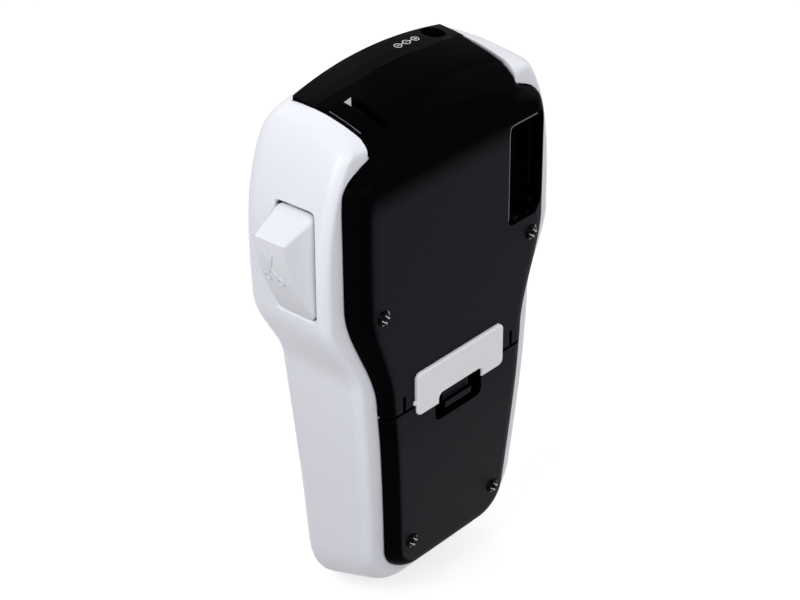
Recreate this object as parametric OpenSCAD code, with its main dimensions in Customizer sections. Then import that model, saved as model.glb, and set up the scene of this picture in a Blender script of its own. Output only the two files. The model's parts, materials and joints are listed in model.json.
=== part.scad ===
// Handheld label printer with an empty cassette bay and battery bay.
// X is across the body, Y points to the back with the covers, Z along the body to its top end.
// The origin is the middle of the grip. All sizes are in millimetres.

/* [Body outline] */
// lower end of the front shell, at its back edge
z_bottom = -56.2; // [-70:0.1:-45]
// highest point of the body, in the middle of the arched top edge
z_top = 154.5; // [140:0.5:170]
// half width of the head
head_half = 61.5; // [50:0.5:70]
// half width of the grip at the seam between the two covers
grip_half = 47.8; // [40:0.1:56]
// how fast the grip narrows towards its lower end
grip_taper = 0.078; // [0:0.001:0.15]
// height where the waist starts to widen
waist_low = 45; // [30:1:55]
// height where the head has its full width
waist_high = 79; // [70:1:84]
// radius of the two lower corners seen from the back
low_corner = 22; // [10:1:34]
// slant of the lower end, which reaches further down at the front
low_slant = 0.4; // [0:0.05:0.6]
// height where the sides start to lean in towards the top
arch_start = 85; // [80:1:100]
// half width that the sides lean towards
arch_half = 31; // [25:0.5:36]
// how late the sides turn in, larger is later
arch_power = 2.64; // [2.2:0.02:3]
// rise of the arched top edge over the width of the top strip
arch_rise = 3.4; // [2:0.1:5]
// fall of the top face at its front edge
top_fall = 0.01; // [0:0.01:0.1]
// bend of the top face towards the back
top_bend = 0.004; // [0.003:0.0005:0.005]

/* [Depth] */
// back of the covers, where they are flat
y_back = 22; // [18:0.5:26]
// front face at the reference height below
y_front = -29; // [-34:0.5:-24]
// height where the front face is measured
front_ref = 115; // [100:1:130]
// lean of the front face in degrees
front_tilt = 2.48; // [0:0.01:6]
// height of the covers above the rim of the shell on the head
cover_rise_head = 8; // [5:0.1:10]
// height of the covers above the rim of the shell on the grip
cover_rise_grip = 5.5; // [4:0.1:8]
// how far the back leans in at the lower end
back_recede = 4.5; // [0:0.1:8]
// rounding of the front edges
edge_front = 7.7; // [5:0.1:9]
// rounding between the front face and the top
edge_front_top = 11; // [6:0.5:14]
// rounding of the outer edge of the rim
edge_rim = 4; // [2:0.5:6]
// rounding where the top face turns into the back
edge_top_back = 18; // [10:0.5:24]

/* [Walls and gaps] */
// wall of the front shell
wall = 2.4; // [1.6:0.1:3]
// wall of the covers
cover_wall = 2.2; // [1.4:0.1:3]
// gap between a cover and the rim under it
rim_gap = 0.35; // [0.2:0.05:0.8]
// seam between the two covers
seam_gap = 0.8; // [0.4:0.1:1.5]
// gap round a part that slides or turns in an opening
run_gap = 0.4; // [0.3:0.05:0.8]
// width of the flange of the shell under the covers
flange = 2; // [1:0.1:5]

/* [Covers] */
// height of the seam between the two covers
seam_z = 32; // [20:0.5:45]
// half width of the covers on the head
cover_half_head = 52.7; // [45:0.1:54]
// half width of the covers at the seam
cover_half_grip = 38.8; // [32:0.1:44]
// height where the covers start to widen
cover_waist_low = 36; // [30:1:45]
// height where the covers have their full width
cover_waist_high = 86; // [76:1:95]
// lower end of the battery cover
cover_low = -50; // [-54:0.5:-40]
// radius of the lower corners of the battery cover
cover_corner = 14; // [8:0.5:20]
// half width of the black top between the shoulders
top_half = 38.2; // [37:0.1:39.5]
// height where the shoulders start to turn in
shoulder_low = 128; // [124:0.5:131]
// height where the shoulders meet the black top
shoulder_high = 141; // [139:0.5:143]
// edge rounding of the covers on the head
cover_edge_head = 10; // [5:0.5:12]
// edge rounding of the covers on the grip
cover_edge_grip = 6; // [4:0.5:8]
// axis of the cassette cover, depth
hinge_y = -2; // [-6:0.1:4]
// axis of the cassette cover, height
hinge_z = 144.8; // [143:0.1:146]
// seam between the cassette cover and the fixed top strip, depth
lid_seam_y = -10.2; // [-12:0.1:-8]
// ends of the hinge pins, distance inside the edge of the black top
hinge_in = 3; // [2:0.1:5]
// width of a post that holds a hinge pin
hinge_post = 3; // [2:0.1:4]
// width of a lug of the cassette cover
hinge_lug = 2.8; // [2:0.1:4]
// radius of the pins of the cassette cover
hinge_pin_r = 1.5; // [1:0.1:2]
// length of one slit beside the lift tab
slit_len = 7; // [4:0.5:12]
// width of one slit beside the lift tab
slit_w = 1.6; // [1:0.1:3]
// distance of the slits from the middle
slit_x = 29.8; // [20:0.1:36]
// left side of the window in the cassette cover, seen from the front
window_x = -27.5; // [-35:0.5:-20]
// lower edge of the window
window_low = 86; // [70:0.5:95]
// upper edge of the window
window_high = 128; // [110:0.5:132]

/* [Lift tab and feet] */
// width of the lift tab
tab_w = 48.2; // [30:0.1:60]
// height of the lift tab
tab_h = 18.6; // [10:0.1:26]
// top of the lift tab above the seam
tab_above = 13.9; // [8:0.1:20]
// how far the lift tab stands out of the covers
tab_proud = 1.4; // [0.8:0.1:3]
// width of the finger notch in the lift tab
notch_w = 24; // [14:0.5:34]
// height of the finger notch in the lift tab
notch_h = 4.2; // [2:0.1:8]
// radius of one foot
foot_r = 2.7; // [2:0.1:4]
// how far a foot stands out
foot_proud = 1.9; // [0.8:0.1:3]
// radius of the flat tip of a foot
foot_tip_r = 1.2; // [0.8:0.1:2]
// depth of the socket that holds a foot
foot_socket = 1.2; // [0.6:0.1:1.6]
// feet of the cassette cover, distance from the middle
foot_x_up = 40.2; // [30:0.1:46]
// feet of the cassette cover, height
foot_z_up = 78.6; // [60:0.1:100]
// feet of the battery cover, distance from the middle
foot_x_low = 23.5; // [15:0.1:30]
// feet of the battery cover, height
foot_z_low = -33.4; // [-40:0.1:-20]

/* [Top face] */
// distance of the power socket from the middle
jack_x = -29.5; // [-30:0.1:-28]
// depth position of the power socket
jack_y = -18; // [-18.1:0.1:-17.9]
// radius of the recess for the power plug
jack_r = 4.6; // [4:0.1:4.7]
// depth of the recess for the power plug
jack_depth = 7; // [5:0.1:8]
// radius of the bore for the plug's barrel
plug_r = 2.8; // [2.5:0.1:2.9]
// middle of the label slot, distance from the middle
slot_x = 27; // [26.4:0.1:27]
// middle of the label slot, depth
slot_y = 3.4; // [2.6:0.1:3.6]
// length of the label slot
slot_len = 16; // [12:0.1:20]
// width of the label slot
slot_w = 3.6; // [2:0.1:5]

/* [Cutter] */
// opening for the cutter lever, lower edge
cut_low = 79; // [70:0.5:90]
// opening for the cutter lever, upper edge
cut_high = 125; // [115:0.5:130]
// opening for the cutter lever, width along the depth
cut_w = 19.3; // [12:0.1:24]
// opening for the cutter lever, middle along the depth
cut_y = -2.4; // [-8:0.1:4]
// height of the ridge of the cutter lever
cut_ridge_z = 115; // [105:0.5:122]
// how far the ridge stands out of the side
cut_proud = 11; // [6:0.1:15]
// pivot of the cutter lever, distance inside the side of the head
cut_pin_in = 7.5; // [6:0.1:8]
// pivot of the cutter lever, height
cut_pin_z = 84; // [80:0.1:90]
// radius of the pivot pin of the cutter lever
cut_pin_r = 1.25; // [0.8:0.05:2]
// travel of the blade
cut_travel = 5; // [3:0.1:7]
// radius of the corners of the lever and of its opening
cut_corner = 3; // [1:0.1:4]
// thickness of the plate behind the thumb wedge
lever_plate = 5; // [3:0.1:6]
// thickness of the blade carriage
carriage_t = 2.8; // [2:0.1:3]
// width of the blade carriage
carriage_w = 8; // [5:0.1:10]
// thickness of the blade
blade_t = 0.6; // [0.4:0.1:1]
// thickness of the arm that pushes the blade carriage
arm_t = 2.5; // [2:0.1:3]
// distance of that arm behind the back of the lever
arm_in = 4.3; // [4:0.1:5]
// free length of the spring behind the lever
cut_spring_len = 6; // [5:0.1:8]

/* [Bays and inner frame] */
// deck of the inner frame, its side towards the back
deck_y = 11.5; // [8:0.1:12]
// thickness of deck, floors and bay walls
deck_t = 2; // [1.2:0.1:3]
// cassette bay, left inner side, distance inside the edge of the covers
bay_in = 12.7; // [11:0.1:16]
// cassette bay, right inner side
bay_x1 = 36.5; // [36.5:0.1:37]
// cassette bay, lower inner side
bay_z0 = 61; // [58:0.5:70]
// cassette bay, upper inner side
bay_z1 = 131; // [120:0.5:131]
// cassette bay, floor surface
bay_floor = -8; // [-12:0.5:0]
// half width inside the battery bay, for six AAA cells side by side
cell_half = 32; // [31.8:0.1:34]
// lower inner end of the battery bay
cell_z0 = -25; // [-30:0.5:-20]
// upper inner end of the battery bay
cell_z1 = 27; // [24:0.5:30]
// floor surface of the battery bay
cell_floor = 5; // [2:0.5:6]
// pitch of the cells
cell_pitch = 10.6; // [10.5:0.1:11]
// radius of a screw boss
boss_r = 3.2; // [2.6:0.1:4]
// radius of a case screw
screw_r = 1.1; // [0.9:0.05:1.5]
// radius of a screw head
screw_head_r = 2.4; // [2:0.1:3]
// screws beside the cassette bay, distance inside the edge of the covers
screw_in = 8.7; // [7:0.1:10]

/* [Drive and print] */
// platen roller, height
platen_z = 121; // [110:0.5:125]
// radius of the platen roller
platen_r = 4.2; // [3:0.1:5]
// length of the platen roller
platen_len = 13.5; // [12:0.1:16]
// radius of the platen shaft
platen_shaft_r = 1.5; // [1:0.1:2]
// gap between platen and print head for the tape
tape_gap = 0.8; // [0.5:0.1:1.5]
// take-up spindle, distance from the middle
spool_x = 0; // [-10:0.5:10]
// take-up spindle, height
spool_z = 100; // [85:0.5:110]
// radius of the take-up spindle
spool_r = 3; // [2:0.1:4]
// radius of the motor
motor_r = 9.5; // [7:0.1:10]
// length of the motor
motor_len = 32.5; // [20:0.5:36]
// height of the motor's axis
motor_z = 46; // [42:0.5:47]
// depth of the motor's axis
motor_y = -4; // [-6:0.1:-3]
// face between motor and gear case, distance from the middle
motor_face = 14.5; // [10:0.5:18]
// width of the gear case
gear_w = 15.5; // [8:0.5:16]
// height of the gear case
gear_h = 22; // [16:0.5:24]

/* [Front] */
// width of the display lens
lens_w = 88; // [60:0.5:96]
// height of the display lens
lens_h = 30; // [20:0.5:34]
// middle of the display lens above the front reference height
lens_z = 8; // [0:0.5:12]
// thickness of the display lens
lens_t = 1.6; // [1:0.1:2.2]
// keypad panel, upper edge from the front reference height
pad_top = -43; // [-46:0.5:-40]
// keypad panel, lower edge from the front reference height
pad_low = -88; // [-92:0.5:-84]
// half width of the keypad panel at its upper edge
pad_half_top = 47; // [40:0.5:48]
// half width of the keypad panel at its lower edge
pad_half_low = 38; // [32:0.5:39]
// pitch of the letter keys across
key_pitch = 8.8; // [8:0.1:9.2]
// pitch of the rows of keys
row_pitch = 10.8; // [9:0.1:11]
// width of a letter key
key_w = 7.2; // [6:0.1:8]
// height of a letter key
key_h = 7.4; // [6:0.1:8]
// how far the keys stand out of the front
key_proud = 1.3; // [0.6:0.1:2]
// how far the keypad's flange reaches behind the front wall
pad_flange = 0.8; // [0.4:0.1:1.2]
// depth of the keypad's flange behind the front face
pad_flange_in = 3.9; // [3.7:0.1:4.2]
// thickness of the keypad's flange
pad_flange_t = 0.7; // [0.5:0.1:0.9]
// travel of a separate key
key_travel = 0.8; // [0.4:0.1:1.2]
// middle of the ring of arrow keys from the front reference height
nav_z = -28; // [-32:0.5:-24]
// outer radius of the ring of arrow keys
nav_r = 12; // [9:0.1:13]
// radius of the key inside the ring
ok_r = 5.6; // [4:0.1:7]
// distance of the side keys from the middle
side_key_x = 36; // [28:0.5:40]
// width of a side key
side_key_w = 18; // [12:0.5:22]
// height of a side key
side_key_h = 10; // [7:0.5:12]
// half width of the circuit board
board_half = 38; // [30:0.5:40]
// depth of the circuit board behind the front face
board_in = 5; // [4.5:0.1:7]
// thickness of the circuit board
board_t = 1.6; // [1:0.1:2]

/* [Hidden] */
$fn = 48;
mid_z = (z_top + z_bottom) / 2;
arch_r = (top_half * top_half + arch_rise * arch_rise) / (2 * arch_rise);
top_ref = -22;
low_ref = 12;
cover_taper = 0.08;
strip_front = -24.5;
strip_bow = 2;
strip_wall = 1.2;
jack_wall = 0.6;
bulkhead_y = -17.2;
peg_r = 2.6;
plate_t = 0.4;
coil_len = 4.4;
coil_wire = 0.3;
coil_turns = 3;
strip_low = 138.5;
// centre of the rounding between top face and back
turn_y = y_back - edge_top_back;
turn_tilt = turn_at(12, 6);
turn_z = z_top - drop(turn_y + edge_top_back * sin(turn_tilt)) - edge_top_back * cos(turn_tilt);
side_z = z_top - arch_rise;
bay_x0 = bay_in - cover_half_head;
cut_pin_x = head_half - cut_pin_in;
lever_back = cut_pin_x - 2;
carriage_z = bay_z1 + deck_t + run_gap;
arm_x = lever_back - arm_in - arm_t;
pivot_arm = carriage_z + carriage_t - 0.2 - cut_pin_z;
pin_out = top_half - hinge_in;
tab_z = seam_z + tab_above - tab_h / 2;
tab_corner = 2.5;
tab_sunk = 0.8;
lug_out = pin_out - hinge_post - run_gap;
guide_x = bay_x0 - 4.6;
bulkhead_x = jack_x + jack_r;
recess_z = top_z(jack_x, jack_y) - jack_depth;
cut_angle = atan(cut_travel / pivot_arm);
platen_x = slot_x + platen_r + tape_gap / 2;
head_x = platen_x - platen_r - tape_gap;

// fall of the top face from its front edge to the depth y, and the depth where it has fallen by c
function drop(y) = let (w = max(0, y - top_ref)) top_fall * w + top_bend * w * w;
function drop_at(c) = top_ref
  + (sqrt(top_fall * top_fall + 4 * top_bend * max(0, c)) - top_fall) / (2 * top_bend);

// lean of the top face where it turns into the back, found in n steps
function turn_at(a, n) = n == 0 ? a
  : turn_at(atan(top_fall + 2 * top_bend * (turn_y + edge_top_back * sin(a) - top_ref)), n - 1);

// height of the arched top face
function top_z(x, y) = z_top - x * x / (2 * arch_r) - drop(y);

// radius on which the front edge of the cassette cover swings
function sweep_r(x) = norm([hinge_y - lid_seam_y, top_z(x, lid_seam_y) - hinge_z]);

function ease(a, b, z) = let (t = max(0, min(1, (z - a) / (b - a)))) t * t * (3 - 2 * t);

// rounding depth of an edge of radius r at distance d from the end
function round_in(r, d) = d >= r ? 0 : r - sqrt(max(0, r * r - (r - d) * (r - d)));

// half width of the white body
function wide(z) = let (
  low = grip_half + grip_taper * (min(z, waist_low) - seam_z),
  base = low + (head_half - low) * ease(waist_low, waist_high, z),
  arch = z > arch_start ? 1 - pow((z - arch_start) / (z_top - arch_start), arch_power) : 1)
  base - (base - arch_half) * (1 - sqrt(max(0, arch))) - round_in(low_corner, z - z_bottom);

// front face
function face_y(z) = y_front - (z - front_ref) * tan(front_tilt);
function body_front(z) = face_y(z) + round_in(edge_front_top, side_z - z)
  + round_in(edge_front, z - z_bottom);

// flat back of the covers, and the rim of the shell under them
function back_flat(z) = y_back - back_recede * pow(max(0, 20 - z) / (20 - z_bottom), 1.3);
function rim(z) = back_flat(z) - cover_rise_grip
  - (cover_rise_head - cover_rise_grip) * ease(cover_waist_low, cover_waist_high, z);
function body_back(z) = min(rim(z), drop_at(side_z - z)) - round_in(edge_rim, z - z_bottom);

// outline of the covers
function cover_half(z) = let (
  low = cover_half_grip + cover_taper * (min(z, cover_waist_low) - seam_z),
  base = low + (cover_half_head - low) * ease(cover_waist_low, cover_waist_high - 2, z))
  base - (base - top_half) * shoulder(z) - round_in(cover_corner, z - cover_low);
function shoulder(z) = let (t = max(0, min(1, (z - shoulder_low) / (shoulder_high - shoulder_low))))
  ease(0, 1, t * t);
function cover_edge(z) = cover_edge_grip
  + (cover_edge_head - cover_edge_grip) * ease(cover_waist_low, cover_waist_high, z);
function cover_back(z, t) = let (d = z - turn_z, r = edge_top_back - t)
  d <= 0 ? back_flat(z) - t - min(round_in(6, z - cover_low), cover_rise_grip - rim_gap - 0.5)
  : d <= r * cos(turn_tilt) ? turn_y + sqrt(r * r - d * d)
  : drop_at(z_top + 0.6 - t - z);

// opening of the shell under the covers
function opening_half(z) = cover_half(z) - flange;

function arc(cx, cy, r, a0, n) = [for (i = [0:n]) let (a = a0 + 90 * i / n)
  [cx + r * cos(a), cy + r * sin(a)]];

// closed ring with rounded corners, front radius rf and back radius rb
function ring(half, yf, yb, rf, rb, nf, nb) = concat(
  arc(half - rb, yb - rb, rb, 0, nb), arc(rb - half, yb - rb, rb, 90, nb),
  arc(rf - half, yf + rf, rf, 180, nf), arc(half - rf, yf + rf, rf, 270, nf));

// solid through a list of rings, each ring [z, points, slant along the depth]
module loft(rings) {
  n = len(rings[0][1]);
  m = len(rings);
  points = [for (r = rings) for (p = r[1]) [p[0], p[1], r[0] + r[2] * (p[1] - low_ref)]];
  sides = [for (i = [0:m - 2]) for (j = [0:n - 1]) let (
    a = i * n + j, b = i * n + (j + 1) % n, c = a + n, d = b + n)
    each [[a, c, d], [a, d, b]]];
  low = [[for (j = [0:n - 1]) j]];
  high = [[for (j = [n - 1:-1:0]) (m - 1) * n + j]];
  polyhedron(points = points, faces = concat(low, sides, high));
}

// heights of the rings of the body, closer where the outline turns
body_z = concat([for (i = [0:5]) z_bottom + low_corner * (1 - cos(90 * i / 5))],
  [-10, 12, waist_low - 4], [for (i = [0:7]) waist_low + (waist_high - waist_low) * (i + 0.3) / 7.3],
  [for (i = [0:10]) arch_start + (side_z - 0.15 - arch_start) * sin(90 * i / 10)]);

// slant of one ring of the body
function slant(z) = low_slant * ease(5, 50, -z);

function body_ring(z, t) = let (
  half = wide(z) - t, yf = body_front(z) + t, yb = max(body_back(z) - t, yf + 3),
  span = (yb - yf) / 2 - 0.2)
  ring(half, yf, yb, min(edge_front - t / 2, span, half / 2), min(edge_rim - t / 2, span, half / 2), 5, 3);

// white body, smaller by t on every side
module body(t) {
  k = (z_top - z_bottom - 2 * t) / (z_top - z_bottom);
  loft([for (z = body_z) [mid_z + (z - mid_z) * k, body_ring(z, t), slant(z)]]);
}

cover_z = concat([for (i = [0:5]) cover_low + cover_corner * (1 - cos(90 * i / 5))],
  [-14, 10, cover_waist_low - 4],
  [for (i = [0:6]) cover_waist_low + (cover_waist_high - cover_waist_low) * (i + 0.3) / 6.3],
  [106, shoulder_low], [for (i = [1:8]) shoulder_low + (shoulder_high - 0.4 - shoulder_low) * i / 8],
  [for (i = [0:8]) shoulder_high + (z_top + 0.3 - shoulder_high) * i / 8]);

// depth where the covers end: the rim of the shell, or far inside under the top face
function cover_base(z, t) = z >= shoulder_high ? (t > 0 ? -30 : -20)
  : rim(z) - round_in(5, z - z_bottom) + (t > 0 ? -3 : rim_gap);

function cover_ring(z, t) = let (
  half = cover_half(z) - t, yb = max(cover_back(z, t), -19), yf = min(cover_base(z, t), yb - 0.4),
  r = min(z >= shoulder_high ? 1.5 : cover_edge(z) - t / 2, (yb - yf) * 0.96, half / 2))
  concat([[half, yf]], arc(half - r, yb - r, r, 0, 6), arc(r - half, yb - r, r, 90, 6), [[-half, yf]]);

// form of both covers, smaller by t, standing on the rim
module cover_form(t) {
  low = cover_waist_low;
  k = (low - cover_low - t) / (low - cover_low);
  intersection() {
    loft([for (z = cover_z) [z >= low ? z : low + (z - low) * k, cover_ring(z, t), 0]]);
    under_top(t);
  }
}

// prism through the depth from y0 to y1 of an outline drawn in x and z
module slab(y0, y1) {
  translate([0, y1, 0]) rotate([90, 0, 0]) linear_extrude(y1 - y0) children();
}

// outline on both sides of the middle from a half width
module outline(kind, less, z0, z1, n) {
  zs = [for (i = [0:n]) z0 + (z1 - z0) * i / n];
  polygon(concat([for (z = zs) [(kind == 0 ? cover_half(z) : opening_half(z)) - less, z]],
    [for (i = [n:-1:0]) [-((kind == 0 ? cover_half(zs[i]) : opening_half(zs[i])) - less), zs[i]]]));
}

// rounded rectangle with true arcs
module rounded(w, h, r) {
  square([w - 2 * r, h], center = true);
  square([w, h - 2 * r], center = true);
  for (x = [-1, 1], y = [-1, 1]) translate([x * (w / 2 - r), y * (h / 2 - r)]) circle(r);
}

// rounded bar through the depth, for openings in the moulded walls
module soft_slot(w, h, r, y0, y1) {
  translate([0, y1, 0]) rotate([90, 0, 0]) hull() {
    for (x = [-1, 1], y = [-1, 1]) translate([x * (w / 2 - r), y * (h / 2 - r), 0])
      cylinder(r = r, h = y1 - y0, $fn = 20);
  }
}

// place things on the front face: local y is into the body, local z is up the face
module on_front(x, z) {
  translate([0, y_front, front_ref]) rotate([front_tilt, 0, 0]) translate([x, 0, z]) children();
}

// arched top face, everything under it
module under_top(less) {
  ys = [-60, top_ref, -16, -10, -4, 2, 8, 14, 20, 26];
  turned_top(concat([[0, -60]], [for (y = ys) [arch_r - drop(y) - less, y]], [[0, 26]]));
}

// body turned about the long axis of the arch from an outline of radius and depth
module turned_top(points) {
  translate([0, 0, z_top - arch_r]) rotate([-90, 0, 0]) rotate_extrude($fn = 180) polygon(points);
}

// outline of the black top seen from above to the depth y1, larger by more, its front edge bowed
module strip_plan(more, y1) {
  e = top_half + more;
  n = 16;
  polygon(concat([for (i = [-n:n]) [e * i / n, strip_front + strip_bow * (i / n) * (i / n) - more]],
    [[e, y1], [-e, y1]]));
}

// room that the front edge of the cassette cover sweeps through, larger by gap
module lid_sweep(gap) {
  reach = top_half + 1;
  xs = [for (i = [-6:6]) i * reach / 6];
  translate([0, hinge_y, hinge_z]) rotate([0, 90, 0]) rotate_extrude()
    polygon(concat([[0, -reach]], [for (x = xs) [sweep_r(x) + gap, x]], [[0, reach]]));
}

module pin_x(x0, x1, y, z, r) {
  translate([x0, y, z]) rotate([0, 90, 0]) cylinder(r = r, h = x1 - x0);
}

module pin_y(x, z, y0, y1, r) {
  translate([x, y1, z]) rotate([90, 0, 0]) cylinder(r = r, h = y1 - y0);
}

module box(x0, x1, y0, y1, z0, z1) {
  translate([x0, y0, z0]) cube([x1 - x0, y1 - y0, z1 - z0]);
}

// places of the screws that hold the inner frame: x and z
screw_x = cover_half_head - screw_in;
screw_at = [[screw_x, 77.5], [screw_x, 98], [-screw_x, 77.5], [bay_x0 - deck_t - boss_r - 0.8, 130],
  [0, -34]];

// hollow form of both covers
module cover_shell() {
  difference() {
    cover_form(0);
    cover_form(cover_wall);
  }
}

// socket of one foot in a cover
module foot_hole(x, z) {
  pin_y(x, z, back_flat(z) - foot_socket, back_flat(z) + 4, foot_r + 0.05);
}

module front_shell() color("#eceef2") {
  difference() {
    union() {
      difference() {
        body(0);
        body(wall);
      }
      // collar in front of the black strip, following the arch
      intersection() {
        box(-top_half - 2, top_half + 2, face_y(z_top), strip_front + strip_bow, side_z - 6, z_top);
        turned_top(concat([[0, face_y(side_z)]],
          [for (i = [0:6]) let (c = edge_front_top * (1 - cos(15 * i)))
            [arch_r - round_in(edge_front_top, c), face_y(side_z) + c]],
          [[0, face_y(side_z) + edge_front_top]]));
      }
      // bosses for the case screws, standing on the front wall
      intersection() {
        for (p = screw_at) pin_y(p[0], p[1], face_y(p[1]) + 1, deck_y - deck_t, boss_r);
        body(0.5);
      }
      // posts for the circuit board
      for (p = [[30, -12], [-30, -12], [20, -38.8], [-20, -38.8]])
        on_front(p[0], p[1]) rotate([-90, 0, 0]) cylinder(r = 1.6, h = board_in, $fn = 24);
      // ears for the pin of the cutter lever
      for (y = [cut_y - cut_w / 2 - 1.8, cut_y + cut_w / 2 + 0.2]) intersection() {
        box(cut_pin_x - 3, head_half, y, y + 1.6, cut_pin_z - 4, cut_pin_z + 4);
        body(1);
      }
      // stiffening ribs in the grip
      for (z = [-18, 2, 16], x = [-1, 1]) hull() {
        translate([x * 30, face_y(z) + 2, z]) sphere(r = 0.8, $fn = 8);
        translate([x * 6, face_y(z) + 2, z]) sphere(r = 0.8, $fn = 8);
        translate([x * 18, face_y(z) + 5, z]) sphere(r = 0.8, $fn = 8);
      }
    }
    // opening under the covers and the black top
    slab(-18, 30) outline(1, 0, cover_low + 2, shoulder_high, 48);
    translate([0, 0, shoulder_high - 0.7]) linear_extrude(z_top + 5 - shoulder_high) strip_plan(rim_gap, 30);
    // display, keypad and separate keys
    on_front(0, lens_z) soft_slot(lens_w + 0.2, lens_h + 0.2, 4, -3, lens_t + 0.1);
    on_front(0, lens_z) soft_slot(lens_w - 8, lens_h - 6, 2, -3, 6);
    on_front(0, 0) slab(-3, 6) pad_outline(0.15);
    on_front(0, nav_z) rotate([-90, 0, 0]) translate([0, 0, -3]) cylinder(r = nav_r + run_gap, h = 9);
    for (x = [-1, 1]) on_front(x * side_key_x, nav_z)
      soft_slot(side_key_w + 2 * run_gap, side_key_h + 2 * run_gap, 3, -3, 6);
    // opening for the cutter lever
    translate([head_half, cut_y, (cut_low + cut_high) / 2]) rotate([0, 0, 90])
      soft_slot(cut_w, cut_high - cut_low, cut_corner, -9, 9);
    pin_y(cut_pin_x, cut_pin_z, cut_y - cut_w / 2 - 2, cut_y + cut_w / 2 + 2, cut_pin_r + 0.02);
    for (p = screw_at) pin_y(p[0], p[1], face_y(p[1]) + wall + 4, deck_y, screw_r + 0.05);
  }
}

// outline of the keypad panel with cut corners
module pad_outline(more) {
  t = pad_top + more;
  l = pad_low - more;
  a = pad_half_top + more;
  b = pad_half_low + more;
  polygon([[a - 4, t], [a, t - 4], [b + 0.8, l + 4], [b - 4, l], [4 - b, l], [-b - 0.8, l + 4], [-a, t - 4],
    [4 - a, t]]);
}

module inner_frame() color("#1a1a1c") {
  difference() {
    union() {
      slab(deck_y - deck_t, deck_y) outline(1, 0.5, cover_low + 6, bay_z1 + deck_t, 36);
      box(bay_x0 - deck_t, bay_x1 + deck_t, bay_floor - deck_t, deck_y, bay_z0 - deck_t, bay_z1 + deck_t);
      box(-cell_half - deck_t, cell_half + deck_t, cell_floor - deck_t, deck_y, cell_z0 - deck_t,
        cell_z1 + deck_t);
      // upper wall with the bulkhead that carries the top strip
      box(bay_x0 - deck_t, 40, bay_floor - deck_t, deck_y, bay_z1, bay_z1 + deck_t);
      box(bulkhead_x, 38, bulkhead_y, bay_floor, bay_z1, bay_z1 + deck_t);
      intersection() {
        box(bulkhead_x, 38, bulkhead_y, bulkhead_y + 1.8, bay_z1, z_top);
        under_top(1);
      }
      top_strip();
      // posts of the cassette cover's pins
      for (x = [-pin_out, pin_out - hinge_post]) {
        box(x, x + hinge_post, hinge_y - 2.4, hinge_y + 3, bay_z1, hinge_z);
        pin_x(x, x + hinge_post, hinge_y, hinge_z, 2.4);
      }
      // guides of the blade carriage
      for (y = [slot_y - 1 - run_gap - 1, slot_y - 1 + carriage_w + run_gap])
        box(slot_x + 6.5, top_half, y, y + 1, bay_z1 + deck_t - 0.1, carriage_z + carriage_t - 0.3);
      // rib behind the spring of the cutter lever
      box(lever_back - cut_spring_len - 1.5, lever_back - cut_spring_len, cut_y - 5, deck_y, 105, 115);
      // cassette guides beside the bay
      box(guide_x, guide_x + 1.4, deck_y - 0.5, 17.6, 96, 126);
      box(guide_x, bay_x0 - deck_t, deck_y - 0.5, 16.6, 98, 99.4);
      pin_y(guide_x - 1.4, 87.5, deck_y - 0.5, 15.4, peg_r);
      translate([guide_x - 1.4, 15.4, 87.5]) sphere(r = peg_r);
    }
    box(bay_x0, bay_x1, bay_floor, deck_y + 1, bay_z0, bay_z1);
    box(-cell_half, cell_half, cell_floor, deck_y + 1, cell_z0, cell_z1);
    // way of the blade carriage through the pin's post
    box(pin_out - hinge_post - 0.5, pin_out + 0.5, slot_y - 1 - run_gap, slot_y - 1 + carriage_w + run_gap,
      bay_z1 + deck_t, carriage_z + carriage_t + blade_t + run_gap);
    // recess for the power plug
    translate([jack_x, jack_y, recess_z]) cylinder(r = jack_r, h = 20);
    // way of the tape through the upper wall
    box(slot_x - 2, slot_x + 2, slot_y - 7, slot_y + 7, bay_z1 - 1, bay_z1 + deck_t + 1);
    // bores of platen and take-up spindle in the bay floor
    pin_y(platen_x, platen_z, bay_floor - 3, bay_floor + 1, platen_shaft_r + 0.3);
    pin_y(spool_x, spool_z, bay_floor - 3, bay_floor + 1, platen_shaft_r + 0.3);
    for (x = [-pin_out - 1, pin_out - hinge_post - 1])
      pin_x(x, x + hinge_post + 2, hinge_y, hinge_z, hinge_pin_r);
    for (p = screw_at) pin_y(p[0], p[1], deck_y - 3, deck_y + 1, screw_r + 0.05);
  }
}

// fixed black strip in the top face, with the tube of the power recess
module top_strip() {
  difference() {
    intersection() {
      union() {
        difference() {
          translate([0, 0, strip_low]) linear_extrude(z_top + 2 - strip_low) strip_plan(0, hinge_y);
          intersection() {
            translate([0, strip_wall + 1, strip_low - 1]) linear_extrude(z_top + 2 - strip_low)
              strip_plan(1, hinge_y);
            under_top(2.6);
          }
        }
        translate([jack_x, jack_y, recess_z]) cylinder(r = jack_r + jack_wall, h = 10);
      }
      under_top(0);
    }
    lid_sweep(run_gap);
  }
}

module display_lens() color("#20242a") {
  on_front(0, lens_z) slab(0.1, lens_t + 0.1) rounded(lens_w, lens_h, 4);
}

module display_module() color("#8f9a86") {
  on_front(0, lens_z) slab(lens_t + 0.1, 6) square([lens_w - 12, lens_h - 8], center = true);
}

module keypad() color("#3a3d42") {
  on_front(0, 0) {
    slab(0.3, pad_flange_in + 0.2) pad_outline(0);
    slab(pad_flange_in, pad_flange_in + pad_flange_t) pad_outline(pad_flange);
    for (k = [0:9]) pad_key((k - 4.5) * key_pitch, 0, key_w);
    for (k = [0:8]) pad_key((k - 4) * key_pitch, 1, key_w);
    for (k = [0:7]) pad_key((k - 3.5) * key_pitch, 2, key_w);
    for (x = [-27, -18, 18, 27]) pad_key(x, 3, key_w);
    pad_key(0, 3, 26);
    for (x = [-34, 0, 34]) translate([x, 3.5, (pad_top + pad_low) / 2 + 5])
      box(-2, 2, 0, board_in - 3.5, -2, 2);
  }
}

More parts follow.
